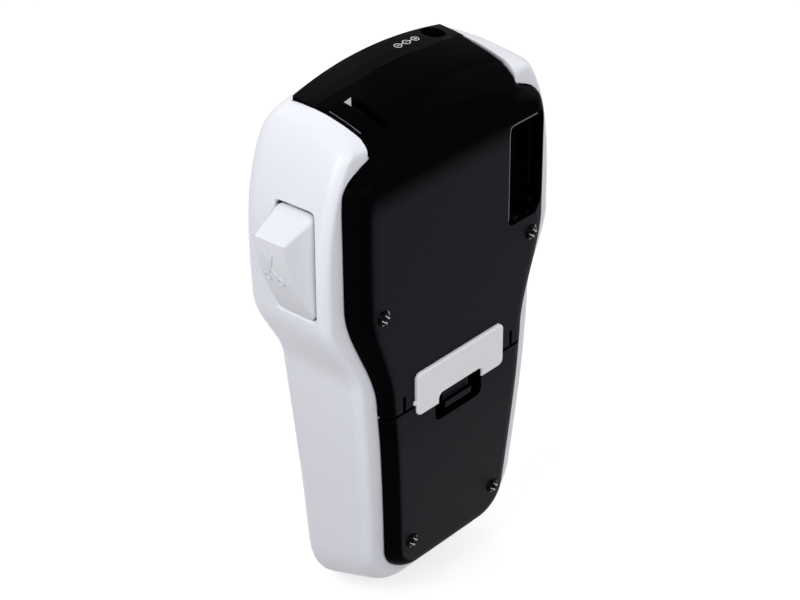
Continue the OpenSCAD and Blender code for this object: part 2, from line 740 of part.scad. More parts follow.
module pad_key(x, row, w) {
  translate([x, 0, pad_top - 6 - row * row_pitch]) slab(-key_proud, 1) rounded(w, key_h, 1.4);
}

module nav_ring() color("#c9ccd1") {
  on_front(0, nav_z) difference() {
    union() {
      rotate([-90, 0, 0]) translate([0, 0, -key_proud]) cylinder(r = nav_r, h = key_proud + 3.2);
      rotate([-90, 0, 0]) translate([0, 0, 2.9]) cylinder(r = nav_r + 1.4, h = 0.8);
    }
    rotate([-90, 0, 0]) translate([0, 0, -5]) cylinder(r = ok_r + run_gap, h = 12);
  }
}

module ok_key() color("#3a3d42") {
  on_front(0, nav_z) rotate([-90, 0, 0]) translate([0, 0, -key_proud - 0.4])
    cylinder(r = ok_r, h = key_proud + 4.2);
}

module side_key(x) {
  on_front(x, nav_z) {
    slab(-key_proud, 3.2) rounded(side_key_w, side_key_h, 2.6);
    slab(2.9, 3.7) rounded(side_key_w + 2.4, side_key_h + 2.4, 3);
  }
}

module power_key() color("#3a3d42") side_key(-side_key_x);

module print_key() color("#2f6fae") side_key(side_key_x);

module circuit_board() color("#1f5a3a") {
  on_front(0, 0) box(-board_half, board_half, board_in, board_in + board_t, pad_low + 1, -8);
}

module cassette_cover() color("#151517") {
  difference() {
    union() {
      intersection() {
        cover_shell();
        union() {
          box(-80, 80, hinge_y, 40, seam_z + seam_gap / 2, z_top + 5);
          lid_sweep(0);
        }
      }
      // lugs on the pins
      for (x = [-lug_out, lug_out - hinge_lug]) intersection() {
        union() {
          pin_x(x, x + hinge_lug, hinge_y, hinge_z, 3);
          box(x, x + hinge_lug, hinge_y - 2.4, hinge_y + 2.4, hinge_z, z_top);
        }
        under_top(0.5);
      }
      // ribs inside
      for (x = [-20, 0, 20], z = [66, 78]) hull() {
        translate([x, y_back - 2, z - 20]) sphere(r = 0.7, $fn = 8);
        translate([x, y_back - 2, z + 30]) sphere(r = 0.7, $fn = 8);
      }
    }
    for (x = [-1, 1]) {
      pin_x(x * (lug_out - hinge_lug / 2) - hinge_lug, x * (lug_out - hinge_lug / 2) + hinge_lug,
        hinge_y, hinge_z, hinge_pin_r + 0.3);
      translate([x * slit_x, 0, seam_z + slit_len / 2 - 1]) soft_slot(slit_w, slit_len + 2, 0.7, 10, 30);
      foot_hole(x * foot_x_up, foot_z_up);
    }
    // label slot
    hull() for (y = [-1, 1]) translate([slot_x, slot_y + y * (slot_len - slot_w) / 2, shoulder_high])
      cylinder(r = slot_w / 2, h = 30, $fn = 20);
    // window to the cassette bay with one cut corner
    slab(10, 30) polygon([[window_x, window_low + 1.5], [window_x, window_high - 4],
      [window_x - 4, window_high], [-cover_half_head + 5.5, window_high],
      [-cover_half_head + 5.5, window_low + 6], [-cover_half_head + 10, window_low],
      [window_x - 1.5, window_low]]);
    // seat of the lift tab
    translate([0, 0, tab_z]) soft_slot(tab_w + 0.2, tab_h + 0.2, tab_corner, y_back - tab_sunk, 30);
  }
}

module lift_tab() color("#c6c9cc") {
  difference() {
    union() {
      translate([0, 0, tab_z]) slab(y_back + rim_gap, y_back + tab_proud) rounded(tab_w, tab_h, tab_corner);
      intersection() {
        translate([0, 0, tab_z]) slab(y_back - tab_sunk, y_back + tab_proud)
          rounded(tab_w, tab_h, tab_corner);
        box(-40, 40, 0, 40, seam_z + seam_gap / 2, seam_z + 40);
      }
    }
    translate([0, 0, tab_z - tab_h / 2]) slab(y_back - 2, y_back + 4) rounded(notch_w, 2 * notch_h, 2);
  }
}

// one foot: a cut ball on a short stem, its base on the cover
module foot(x, z) {
  c = (foot_r * foot_r - foot_tip_r * foot_tip_r - foot_proud * foot_proud) / (2 * foot_proud);
  translate([x, back_flat(z), z]) rotate([-90, 0, 0]) {
    intersection() {
      translate([0, 0, -c]) sphere(r = sqrt(foot_r * foot_r + c * c));
      cylinder(r = foot_r, h = foot_proud);
    }
    translate([0, 0, -foot_socket]) cylinder(r = foot_r, h = foot_socket);
  }
}

module cassette_cover_feet() color("#0e0e0f") for (x = [-1, 1]) foot(x * foot_x_up, foot_z_up);

module battery_cover_feet() color("#0e0e0f") for (x = [-1, 1]) foot(x * foot_x_low, foot_z_low);

module hinge_pins() color("#b9bcc2") {
  for (x = [-pin_out, lug_out - hinge_lug])
    pin_x(x, x + pin_out - lug_out + hinge_lug, hinge_y, hinge_z, hinge_pin_r);
}

module battery_cover() color("#151517") {
  difference() {
    union() {
      intersection() {
        cover_shell();
        box(-80, 80, -20, 40, cover_low - 5, seam_z - seam_gap / 2);
      }
      // guide ribs inside, and strengthening ribs
      for (x = [-24, -8, 8, 24]) hull() {
        translate([x, back_flat(-20) - 2.4, -26]) sphere(r = 0.7, $fn = 8);
        translate([x, y_back - 2.2, 18]) sphere(r = 0.7, $fn = 8);
      }
      for (x = [-29, -16, 16, 29]) hull() {
        translate([x, y_back - 2.2, 19]) sphere(r = 0.7, $fn = 8);
        translate([x, y_back - 2.2, 29]) sphere(r = 0.7, $fn = 8);
      }
    }
    // pocket for the finger under the lid's lower edge
    translate([0, 0, seam_z - 4]) soft_slot(24, 13, 3, 8, 30);
    for (x = [-1, 1]) foot_hole(x * foot_x_low, foot_z_low);
  }
}

// contact plates at both ends of the six cells
module battery_plates() color("#c9ccd1") {
  for (k = [0:5], z = [cell_z0, cell_z1 - plate_t])
    translate([(k - 2.5) * cell_pitch, 0, z]) box(-4.2, 4.2, cell_floor + 1, cell_floor + 9.5, 0, plate_t);
}

// tube wound on a line that narrows: r0 to r1 over height h, w wire radius, n curls
module wound(r0, r1, h, w, n) {
  steps = n * 8;
  line = [for (i = [0:steps]) let (a = 45 * i, r = r0 + (r1 - r0) * i / steps)
    [r * cos(a), r * sin(a), w + h * i / steps]];
  points = [for (i = [0:steps]) let (a = 45 * i) for (j = [0:5])
    line[i] + w * [cos(a) * cos(60 * j), sin(a) * cos(60 * j), sin(60 * j)]];
  sides = [for (i = [0:steps - 1]) for (j = [0:5]) let (p = i * 6 + j, q = i * 6 + (j + 1) % 6)
    each [[p, p + 6, q + 6], [p, q + 6, q]]];
  polyhedron(points = points, faces = concat([[5, 4, 3, 2, 1, 0]], sides, [[for (j = [0:5]) steps * 6 + j]]));
}

module battery_springs() color("#d5d8dc") {
  for (k = [0:5]) let (low = k % 2 == 0)
    translate([(k - 2.5) * cell_pitch, cell_floor + 5.25, low ? cell_z0 + plate_t : cell_z1 - plate_t])
      rotate([low ? 0 : 180, 0, 0]) wound(3.4, 2.2, coil_len, coil_wire, coil_turns);
}
echo("gap between the curls of a battery spring", coil_len / coil_turns - 2 * coil_wire);

module case_screws() color("#9a9da3") {
  for (p = screw_at) {
    pin_y(p[0], p[1], deck_y, deck_y + 1.6, screw_head_r);
    pin_y(p[0], p[1], deck_y - 9, deck_y, screw_r);
  }
}

module power_jack() color("#222326") {
  difference() {
    translate([jack_x, jack_y, recess_z - 13]) cylinder(r = jack_r - 1.1, h = 13 - 0.3);
    translate([jack_x, jack_y, recess_z - 9]) cylinder(r = plug_r, h = 20);
  }
}

module power_jack_pin() color("#c9ccd1") translate([jack_x, jack_y, recess_z - 9]) cylinder(r = 1, h = 8);

module cutter_lever() color("#e9ebee") {
  w = cut_w - 2 * run_gap;
  y0 = cut_y - w / 2;
  difference() {
    union() {
      // wedge that the thumb presses
      hull() {
        for (y = [y0 + cut_corner, y0 + w - cut_corner],
          z = [cut_low + run_gap + cut_corner, cut_high - 1 - cut_corner])
          pin_x(lever_back + lever_plate - 0.5, wide(z) - 0.3, y, z, cut_corner, $fn = 24);
        translate([head_half + cut_proud - 1.6, cut_y, cut_ridge_z]) cube([2, w - 4.5, 2.4], center = true);
      }
      box(lever_back, lever_back + lever_plate, y0 + 1, y0 + w - 1, cut_pin_z - 3, cut_high - 4);
      pin_y(cut_pin_x, cut_pin_z, y0, y0 + w, 3);
      // arm that pushes the blade carriage
      box(arm_x, arm_x + arm_t, slot_y - 4, slot_y + 3, cut_high - 8, carriage_z + carriage_t + 0.5);
      box(arm_x, lever_back + 1, slot_y - 4, slot_y + 3, cut_high - 8, cut_high - 4);
    }
    pin_y(cut_pin_x, cut_pin_z, y0 - 1, y0 + w + 1, cut_pin_r + 0.3);
  }
}

module cutter_pin() color("#b9bcc2")
  pin_y(cut_pin_x, cut_pin_z, cut_y - cut_w / 2 - 1.8, cut_y + cut_w / 2 + 1.8, cut_pin_r);

module blade_carriage() color("#d8dadd") {
  box(slot_x + 6, arm_x - run_gap, slot_y - 1, slot_y - 1 + carriage_w, carriage_z, carriage_z + carriage_t);
}

module cutter_blade() color("#c3c7cc") {
  a = slot_x + slot_w / 2 + 0.6;
  y0 = slot_y - slot_len / 2 + 1;
  y1 = slot_y + slot_len / 2;
  c0 = slot_y - 1;
  c1 = c0 + carriage_w;
  b = a + 2.4;
  translate([0, 0, carriage_z + carriage_t]) linear_extrude(blade_t)
    polygon([[b + 5.8, c0], [b + 5.8, c1], [b, c1], [b, y1], [a + 1.4, y1], [a, slot_y + 0.5],
      [a + 1.4, y0], [b, y0], [b, c0]]);
}

module cutter_spring() color("#b9bcc2") {
  translate([lever_back - cut_spring_len, cut_y, 110]) rotate([0, 90, 0])
    wound(2.6, 2.6, cut_spring_len - 0.7, 0.35, 4);
}
echo("gap between the curls of the cutter spring", (cut_spring_len - 0.7) / 4 - 0.7);

module platen_roller() color("#2a2b2e") {
  difference() {
    pin_y(platen_x, platen_z, bay_floor + 1, bay_floor + 1 + platen_len, platen_r);
    pin_y(platen_x, platen_z, bay_floor, bay_floor + 2 + platen_len, platen_shaft_r);
  }
}

module platen_shaft() color("#b9bcc2")
  pin_y(platen_x, platen_z, bay_floor - 5, bay_floor + 17, platen_shaft_r);

module print_head() color("#a77f54")
  box(head_x - 1.6, head_x, bay_floor + 1, bay_floor + 14, platen_z - 8, platen_z + 6);

module head_bracket() color("#8d9096") {
  box(head_x - 4.6, head_x - 1.6, bay_floor, bay_floor + 13, platen_z - 9, platen_z + 7);
}

module take_up_spindle() color("#e2e2de") {
  pin_y(spool_x, spool_z, bay_floor + 0.4, bay_floor + 14, spool_r);
  pin_y(spool_x, spool_z, bay_floor - 5, bay_floor + 1, platen_shaft_r);
  for (a = [0:60:300]) translate([spool_x, 0, spool_z]) rotate([0, a, 0])
    box(spool_r - 0.5, spool_r + 1, bay_floor + 0.4, bay_floor + 12, -0.5, 0.5);
}

module drive_motor() color("#a9adb3") pin_x(motor_face - motor_len, motor_face, motor_y, motor_z, motor_r);

module gear_case() color("#34363a")
  box(motor_face, motor_face + gear_w, motor_y - 12, deck_y - deck_t, motor_z - gear_h / 2,
    motor_z + gear_h / 2);

front_shell();
inner_frame();
display_lens();
display_module();
keypad();
nav_ring();
ok_key();
power_key();
print_key();
circuit_board();
cassette_cover();
lift_tab();
cassette_cover_feet();
hinge_pins();
battery_cover();
battery_cover_feet();
battery_plates();
battery_springs();
case_screws();
power_jack();
power_jack_pin();
cutter_lever();
cutter_pin();
blade_carriage();
cutter_blade();
cutter_spring();
platen_roller();
platen_shaft();
print_head();
head_bracket();
take_up_spindle();
drive_motor();
gear_case();
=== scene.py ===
"""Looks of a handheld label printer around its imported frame.

Sizes are millimetres, apart from the materials, the lamps and the floor, which are in metres.
"""
import json
import math

import bmesh
import bpy
import numpy as np
from mathutils import Matrix, Vector


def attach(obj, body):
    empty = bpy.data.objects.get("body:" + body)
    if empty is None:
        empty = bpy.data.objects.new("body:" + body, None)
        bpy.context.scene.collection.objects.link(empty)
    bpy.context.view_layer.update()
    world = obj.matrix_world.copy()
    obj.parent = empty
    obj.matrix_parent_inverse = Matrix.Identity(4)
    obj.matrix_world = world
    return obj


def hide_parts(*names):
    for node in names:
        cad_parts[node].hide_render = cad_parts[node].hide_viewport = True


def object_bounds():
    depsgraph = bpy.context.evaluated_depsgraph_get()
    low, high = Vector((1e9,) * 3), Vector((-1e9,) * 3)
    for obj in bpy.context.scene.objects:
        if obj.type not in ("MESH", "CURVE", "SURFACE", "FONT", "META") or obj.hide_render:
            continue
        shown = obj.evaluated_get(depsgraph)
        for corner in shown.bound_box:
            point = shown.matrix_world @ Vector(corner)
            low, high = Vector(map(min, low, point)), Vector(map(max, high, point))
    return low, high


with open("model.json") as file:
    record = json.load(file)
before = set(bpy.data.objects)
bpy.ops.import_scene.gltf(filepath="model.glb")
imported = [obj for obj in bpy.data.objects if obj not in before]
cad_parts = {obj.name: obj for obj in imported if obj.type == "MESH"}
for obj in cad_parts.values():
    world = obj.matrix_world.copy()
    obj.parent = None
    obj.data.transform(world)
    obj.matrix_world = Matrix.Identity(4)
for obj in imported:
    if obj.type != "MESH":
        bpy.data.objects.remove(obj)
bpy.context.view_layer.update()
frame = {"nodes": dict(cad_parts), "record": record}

MM = 0.001

# White body
Z_BOTTOM, Z_TOP = -56.2, 154.5
HEAD_HALF, GRIP_HALF, GRIP_TAPER = 61.5, 47.8, 0.078
WAIST_LOW, WAIST_HIGH = 45.0, 79.0
LOW_CORNER, LOW_SLANT, LOW_REF = 22.0, 0.4, 12.0
ARCH_START, ARCH_HALF, ARCH_RISE, ARCH_POWER = 85.0, 31.0, 3.4, 2.64
Y_BACK, Y_FRONT, FRONT_REF, FRONT_TILT = 22.0, -29.0, 115.0, math.radians(2.48)
RISE_HEAD, RISE_GRIP, BACK_RECEDE = 8.0, 5.5, 4.5
EDGE_FRONT, EDGE_RIM, EDGE_SHOULDER, EDGE_TURN, EDGE_FRONT_TOP = 7.7, 4.0, 4.0, 18.0, 11.0
RIM_ROUND, RIM_RISE, RIM_CREASE = 5.5, 0.52, 0.4
GROOVE_X, GROOVE_DEEP, GROOVE_W = 42.3, 0.3, 1.1
RECEDE_FROM, RECEDE_POWER, SLANT_FROM, SLANT_TO = 20, 1.3, 5, 50
WALL, COVER_WALL, RIM_GAP, RUN_GAP, FLANGE = 2.4, 2.2, 0.35, 0.4, 2.0

# Covers
SEAM_Z, SEAM_GAP, SEAM_WIDER = 32.0, 0.8, 0.4
COVER_HEAD, COVER_GRIP, COVER_TAPER = 52.7, 38.8, 0.08
COVER_LOW, COVER_CORNER, COVER_FRONT, TURN_Z = -50.0, 14.0, -18.0, 133.0
COVER_WAIST_LOW, COVER_WAIST_HIGH = 36.0, 86.0
TOP_HALF, SHOULDER_LOW, SHOULDER_HIGH = 38.2, 128.0, 141.0
COVER_EDGE_HEAD, COVER_EDGE_GRIP, COVER_EDGE_TOP = 10.0, 6.0, 1.5
TOP_FALL, TOP_BEND, TOP_REF_Y, STRIP_FRONT, STRIP_BOW = 0.01, 0.004, -22.0, -24.5, 2.0
ARCH_R = (TOP_HALF ** 2 + ARCH_RISE ** 2) / (2 * ARCH_RISE)
SIDE_Z = Z_TOP - ARCH_RISE
HINGE_Y, HINGE_Z, LID_SEAM_Y = -2.0, 144.8, -10.2
UNDER_TOP_Z = 136.0
SLIT_X, SLIT_LEN, SLIT_W = 29.8, 7.0, 1.6
WINDOW_X, WINDOW_LOW, WINDOW_HIGH = -27.5, 86.0, 128.0
SLOT_X, SLOT_Y, SLOT_LEN, SLOT_W = 27.0, 3.4, 16.0, 3.6
TAB_W, TAB_H, TAB_ABOVE, TAB_PROUD, TAB_SUNK = 48.2, 18.6, 13.9, 1.4, 0.8
TAB_EDGE, TAB_CORNER, TAB_MID_Z = 0.7, 2.5, SEAM_Z + TAB_ABOVE - TAB_H / 2
NOTCH_W, NOTCH_H, NOTCH_CORNER = 24.0, 4.2, 2
POCKET_W, POCKET_H, POCKET_R, POCKET_BELOW = 26, 20, 3, 3.5
TONGUE_HALF, TONGUE_UNDER, TONGUE_LOW = 7.3, 3.2, 22.2
FOOT_R, FOOT_TIP, FOOT_PROUD = 2.7, 1.2, 1.9
FOOT_UP, FOOT_DOWN = (40.2, 78.6), (23.5, -33.4)
LINER_X, LINER_BACK, LINER_LOW = -50.0, 14.2, 80

# Cutter lever
CUT_LOW, CUT_HIGH, CUT_W, CUT_Y = 80.3, 122.6, 19.3, -1.6
CUT_TILT, PLATE_TOP = math.radians(3.6), 121.0
CUT_RIDGE_Z, CUT_PROUD, CUT_PIN_X, CUT_PIN_Z = 115.0, 11.0, 54.0, 84.0
CUT_CORNER, RIDGE_CORNER, RIDGE_NARROWER, CUT_SUNK = 3.0, 1.3, 4.8, 0.5
CUT_MID, CUT_HALF = (CUT_LOW + CUT_HIGH) / 2, (CUT_HIGH - CUT_LOW) / 2
CUT_RIDGE_X = HEAD_HALF + CUT_PROUD - 0.6
ARM_X, ARM_TOP = CUT_PIN_X - 8.8, 136.7

# Front, heights from the front reference
LENS_W, LENS_H, LENS_Z, LENS_T = 88.0, 30.0, 8.0, 1.6
PAD_TOP, PAD_LOW, PAD_HALF_TOP, PAD_HALF_LOW = -43.0, -88.0, 47.0, 38.0
KEY_PITCH, ROW_PITCH, FIRST_ROW, KEY_W, KEY_H, KEY_PROUD = 8.8, 10.8, 6, 7.2, 7.4, 1.3
LETTER_ROWS = ("QWERTYUIOP", "ASDFGHJKL", "ZXCVBNM.")
LOW_KEYS, SPACE_W = (("Aa", -27), ("123", -18), ("Fn", 18), ("Del", 27)), 26.0
PRINT_Y = -KEY_PROUD - 0.02
NAV_Z, NAV_R, OK_R = -28.0, 12.0, 5.6
SIDE_KEY_X, SIDE_KEY_W, SIDE_KEY_H = 36.0, 18.0, 10.0

# Camera of the photograph, its image taken as 800 by 600
IMAGE_W, FOCAL_PX = 800, 2280.0
CAM_AZ, CAM_EL, CAM_ROLL = (math.radians(a) for a in (133.465, 32.951, 0.572))
CAM_SHIFT = np.array((22.053, 29.497, 859.01))
CAM_ORIGIN = np.array((0.0, 22.0, 32.0))

# Limits of cutters, outside the body
WIDE, DEEP, BEHIND, UNDER_BACK, BELOW, ABOVE = 90, 40, 30, 10, -80, 200

# Lines inside the forms from which their skins are drawn: depth, lowest and highest point
SHELL_AXIS = (-6.0, -20.0, 100.0)
COVER_AXIS = (0.0, -30.0, 118.0)

# Stage: name, place, aim, size and watts of each lamp, light of the world, glow and half width of the floor
MIDDLE = (0.0, 0.0, 0.05)
LAMPS = (
    ("key", (0.54, 0.03, 0.50), (0.0, 0.0, 0.07), (0.4, 0.4), 2.6),
    ("fill", (0.15, 1.5, 1.0), MIDDLE, (1.4, 1.4), 12.0),
    ("side_fill", (-1.5, 0.4, 1.0), MIDDLE, (1.2, 1.2), 7.0),
    ("front_fill", (-0.5, -1.6, 1.2), MIDDLE, (1.6, 1.6), 11.0),
)
WORLD_LIGHT, FLOOR_GLOW, FLOOR_REACH = 0.32, 0.66, 1.8


# Forms as distances: negative inside, positive outside

def ease(a, b, z):
    """0 below a, 1 above b, smooth between."""
    t = np.clip((z - a) / (b - a), 0, 1)
    return t * t * (3 - 2 * t)


def both(a, b, r):
    """What lies inside both a and b, with the edge between them rounded to r."""
    return np.minimum(-r, np.maximum(a, b)) + np.hypot(np.maximum(a + r, 0), np.maximum(b + r, 0))


def face_y(z):
    return Y_FRONT - (z - FRONT_REF) * math.tan(FRONT_TILT)


def back_flat(z):
    return Y_BACK - BACK_RECEDE * (np.maximum(0, RECEDE_FROM - z) / (RECEDE_FROM - Z_BOTTOM)) ** RECEDE_POWER


def rim(z):
    return back_flat(z) - RISE_GRIP - (RISE_HEAD - RISE_GRIP) * ease(COVER_WAIST_LOW, COVER_WAIST_HIGH, z)


def steepness(half_at, z, step=0.25):
    """Length along a side whose half width is half_at, per unit of height."""
    slope = (half_at(z + step) - half_at(z - step)) / (2 * step)
    return np.sqrt(1 + slope * slope)


def corner_cut(d, r):
    """How far a corner of radius r comes in at a distance d from the end."""
    return r - np.sqrt(np.maximum(0.0, r ** 2 - np.maximum(0.0, r - d) ** 2))


def shell_half(z):
    low = GRIP_HALF + GRIP_TAPER * (np.minimum(z, WAIST_LOW) - SEAM_Z)
    return low + (HEAD_HALF - low) * ease(WAIST_LOW, WAIST_HIGH, z)


def side_x(z):
    """Half width of the white body, leaning in towards the top."""
    t = np.maximum(0.0, z - ARCH_START) / (Z_TOP - ARCH_START)
    return ARCH_HALF + (shell_half(z) - ARCH_HALF) * np.sqrt(np.maximum(0.0, 1 - t ** ARCH_POWER))


def drop(y):
    """Fall of the top face from its front edge."""
    w = np.maximum(0.0, y - TOP_REF_Y)
    return TOP_FALL * w + TOP_BEND * w * w


def drop_at(c):
    """Depth where the top face has fallen by c."""
    root = np.sqrt(TOP_FALL ** 2 + 4 * TOP_BEND * np.maximum(0.0, c))
    return TOP_REF_Y + (root - TOP_FALL) / (2 * TOP_BEND)


def top_z(x, y):
    return Z_TOP - x * x / (2 * ARCH_R) - drop(y)


def slant(z):
    """Slope of the lower end from front to back."""
    return LOW_SLANT * ease(SLANT_FROM, SLANT_TO, -z)


def shell_form(x, y, z):
    """White body, closed, before its openings."""
    level = z
    for _ in range(8):
        z = level - slant(z) * (y - LOW_REF)
    side = (np.abs(x) - shell_half(z)) / steepness(shell_half, z)
    room = shell_half(z) - ARCH_HALF
    u = np.maximum(np.abs(x) - ARCH_HALF, 0) / room
    t = np.maximum(z - ARCH_START, 0) / (Z_TOP - ARCH_START)
    steep = np.hypot(2 * u / room, ARCH_POWER * t ** (ARCH_POWER - 1) / (Z_TOP - ARCH_START))
    arch = (u * u + t ** ARCH_POWER - 1) / np.maximum(steep, 1e-3)
    d = both(np.maximum(side, arch), Z_BOTTOM - z, LOW_CORNER)
    top = np.maximum(SIDE_Z, Z_TOP - x * x / (2 * ARCH_R)) - drop(y)
    cap = both((face_y(z) - y) * math.cos(FRONT_TILT), level - top, EDGE_FRONT_TOP)
    to_front = np.where(z > 110, np.clip((-8 - y) / 14, 0, 1), 1.0)
    d = both(d, cap, EDGE_SHOULDER + (EDGE_FRONT - EDGE_SHOULDER) * to_front)
    groove = GROOVE_DEEP * np.exp(-((np.abs(x) - GROOVE_X) / GROOVE_W) ** 2)
    groove = groove * ease(128, 140, z) * ease(-27, -20, y)
    d = both(d, y - rim(z) - RIM_RISE, RIM_ROUND)
    return both(d, y - rim(z), RIM_CREASE) + groove


def shoulder(z):
    """How far the covers have turned in to the black top."""
    t = np.clip((z - SHOULDER_LOW) / (SHOULDER_HIGH - SHOULDER_LOW), 0, 1)
    return ease(0, 1, t * t)


def cover_half(z):
    low = COVER_GRIP + COVER_TAPER * (np.minimum(z, COVER_WAIST_LOW) - SEAM_Z)
    base = low + (COVER_HEAD - low) * ease(COVER_WAIST_LOW, COVER_WAIST_HIGH - 2, z)
    return base - (base - TOP_HALF) * shoulder(z)


def cover_form(x, y, z):
    """Both covers as one closed form that runs over the top."""
    side = (np.abs(x) - cover_half(z)) / steepness(cover_half, z)
    d = both(side, COVER_LOW - z, COVER_CORNER)
    lean = TOP_FALL + 2 * TOP_BEND * np.maximum(0.0, y - TOP_REF_Y)
    top = (z - top_z(x, y)) / np.sqrt(1 + lean * lean)
    over = both(y - back_flat(z), top, EDGE_TURN)
    wider = ease(COVER_WAIST_LOW, COVER_WAIST_HIGH, z)
    edge = COVER_EDGE_GRIP + (COVER_EDGE_HEAD - COVER_EDGE_GRIP) * wider
    edge = edge + (COVER_EDGE_TOP - edge) * shoulder(z - 0.5)
    return both(d, over, edge)


# Mesh helpers

def mesh_object(name, points, faces):
    """Object from points in millimetres."""
    mesh = bpy.data.meshes.new(name)
    mesh.from_pydata([tuple(MM * c for c in p) for p in points], [], faces)
    mesh.validate()
    obj = bpy.data.objects.new(name, mesh)
    bpy.context.scene.collection.objects.link(obj)
    bm = bmesh.new()
    bm.from_mesh(mesh)
    bmesh.ops.recalc_face_normals(bm, faces=bm.faces)
    bm.to_mesh(mesh)
    bm.free()
    return obj


def stack(name, rings):
    """Closed skin through rings that have the same number of points."""
    n = len(rings[0])
    points = [p for ring in rings for p in ring]
    faces = []
    for i in range(len(rings) - 1):
        for j in range(n):
            k = (j + 1) % n
            faces.append((i * n + j, i * n + k, (i + 1) * n + k, (i + 1) * n + j))
    last = (len(rings) - 1) * n
    faces.append(tuple(range(n - 1, -1, -1)))
    faces.append(tuple(range(last, last + n)))
    return mesh_object(name, points, faces)


def arc(cx, cy, r, start, n):
    angles = np.radians(start + 90 * np.arange(n + 1) / n)
    return [(cx + r * math.cos(a), cy + r * math.sin(a)) for a in angles]


def between(a, b, n):
    """Points strictly between a and b."""
    return [(a[0] + (b[0] - a[0]) * i / n, a[1] + (b[1] - a[1]) * i / n) for i in range(1, n)]


def section(half, front, back, r_front, r_back, n_corner=9, n_flat=44, n_side=14):
    """Level ring with rounded corners, as points (x, y)."""
    corners = [arc(half - r_back, back - r_back, r_back, 0, n_corner),
               arc(r_back - half, back - r_back, r_back, 90, n_corner),
               arc(r_front - half, front + r_front, r_front, 180, n_corner),
               arc(half - r_front, front + r_front, r_front, 270, n_corner)]
    ring = []
    for i, corner in enumerate(corners):
        ring += corner
        ring += between(corner[-1], corners[(i + 1) % 4][0], n_flat if i % 2 == 0 else n_side)
    return ring


def onto(form, targets, origins):
    """Moves each target along the ray from its origin until it lies on the form."""
    ray = targets - origins
    reach = np.linalg.norm(ray, axis=1, keepdims=True)
    ray = ray / reach
    low = np.zeros(len(targets))
    high = 1.35 * reach[:, 0] + 4
    for _ in range(44):
        mid = (low + high) / 2
        p = origins + ray * mid[:, None]
        inside = form(p[:, 0], p[:, 1], p[:, 2]) < 0
        low = np.where(inside, mid, low)
        high = np.where(inside, high, mid)
    return origins + ray * low[:, None]


def skin(name, form, levels, ring_at, axis_y, axis_low, axis_high):
    """Skin of a form through level rings, seen from a line inside it."""
    rings = []
    for z in levels:
        targets = np.array(ring_at(z))
        origins = np.tile((0.0, axis_y, min(max(z, axis_low), axis_high)), (len(targets), 1))
        rings.append(onto(form, targets, origins))
    return stack(name, rings)


def levels_of(*stretches):
    """Heights from (start, end, steps) stretches, each start once."""
    out = []
    for a, b, n in stretches:
        out += [a + (b - a) * i / n for i in range(n)]
    return out + [stretches[-1][1]]


def apply(obj):
    """Turns an object's modifiers into its mesh."""
    graph = bpy.context.evaluated_depsgraph_get()
    mesh = bpy.data.meshes.new_from_object(obj.evaluated_get(graph))
    obj.modifiers.clear()
    old = obj.data
    obj.data = mesh
    bpy.data.meshes.remove(old)


def carve(obj, tools):
    """Cuts tools out of obj and removes them."""
    for tool in tools:
        mod = obj.modifiers.new("cut", "BOOLEAN")
        mod.operation = "DIFFERENCE"
        mod.solver = "MANIFOLD"
        mod.object = tool
        apply(obj)
        bpy.data.objects.remove(tool)


def soften(obj, angle=32):
    """Smooth shading that keeps edges sharper than the angle."""
    for poly in obj.data.polygons:
        poly.use_smooth = True
    obj.data.set_sharp_from_angle(angle=math.radians(angle))
    mod = obj.modifiers.new("even_shading", "WEIGHTED_NORMAL")
    mod.keep_sharp = True
    mod.weight = 100
    return obj


def rounded(w, h, r, n=6):
    """Rounded rectangle round the middle, as points (a, b)."""
    r = min(r, w / 2 - 1e-3, h / 2 - 1e-3)
    return (arc(w / 2 - r, h / 2 - r, r, 0, n) + arc(r - w / 2, h / 2 - r, r, 90, n)
            + arc(r - w / 2, r - h / 2, r, 180, n) + arc(w / 2 - r, r - h / 2, r, 270, n))


def circle(r, n=48):
    return [(r * math.cos(2 * math.pi * i / n), r * math.sin(2 * math.pi * i / n)) for i in range(n)]


def prism_y(name, outline, y0, y1, x=0.0, z=0.0):
    return stack(name, [[(x + a, y, z + b) for a, b in outline] for y in (y0, y1)])


def prism_x(name, outline, x0, x1):
    """Outline as points (y, z)."""
    return stack(name, [[(x, a, b) for a, b in outline] for x in (x0, x1)])


def prism_z(name, outline, z0, z1, x=0.0, y=0.0):
    return stack(name, [[(x + a, y + b, z) for a, b in outline] for z in (z0, z1)])


def block(name, x0, x1, y0, y1, z0, z1):
    return prism_z(name, [(x0, y0), (x1, y0), (x1, y1), (x0, y1)], z0, z1)


def ribbon(name, path, width, up, lift=0.05, sink=0.3):
    """Thin raised line along a path."""
    path = [np.array(q, float) for q in path]
    up = np.array(up, float)
    rings = []
    for i, q in enumerate(path):
        along = path[min(i + 1, len(path) - 1)] - path[max(i - 1, 0)]
        across = np.cross(along, up)
        across = across / np.linalg.norm(across) * width / 2
        over, under = q + up * lift, q - up * sink
        rings.append([tuple(v) for v in (over + across, over - across, under - across, under + across)])
    return stack(name, rings)


def on_front(points, x=0.0, z=0.0):
    """From the front face's own frame, where y goes into the body, to the object's."""
    c, s = math.cos(FRONT_TILT), math.sin(FRONT_TILT)
    return [(x + a, Y_FRONT + c * y - s * (z + b), FRONT_REF + s * y + c * (z + b)) for a, y, b in points]


def front_stack(name, outline_at, steps, x=0.0, z=0.0):
    """Skin through outlines (grow, y) in the front face's frame."""
    return stack(name, [on_front([(a, y, b) for a, b in outline_at(grow)], x, z) for grow, y in steps])


def front_hole(name, outline_at, x=0.0, z=0.0, chamfer=0.45, deep=7.0):
    """Cutter with a chamfered mouth."""
    return front_stack(name, outline_at, [(chamfer + 3, -3), (0, chamfer), (0, deep)], x, z)


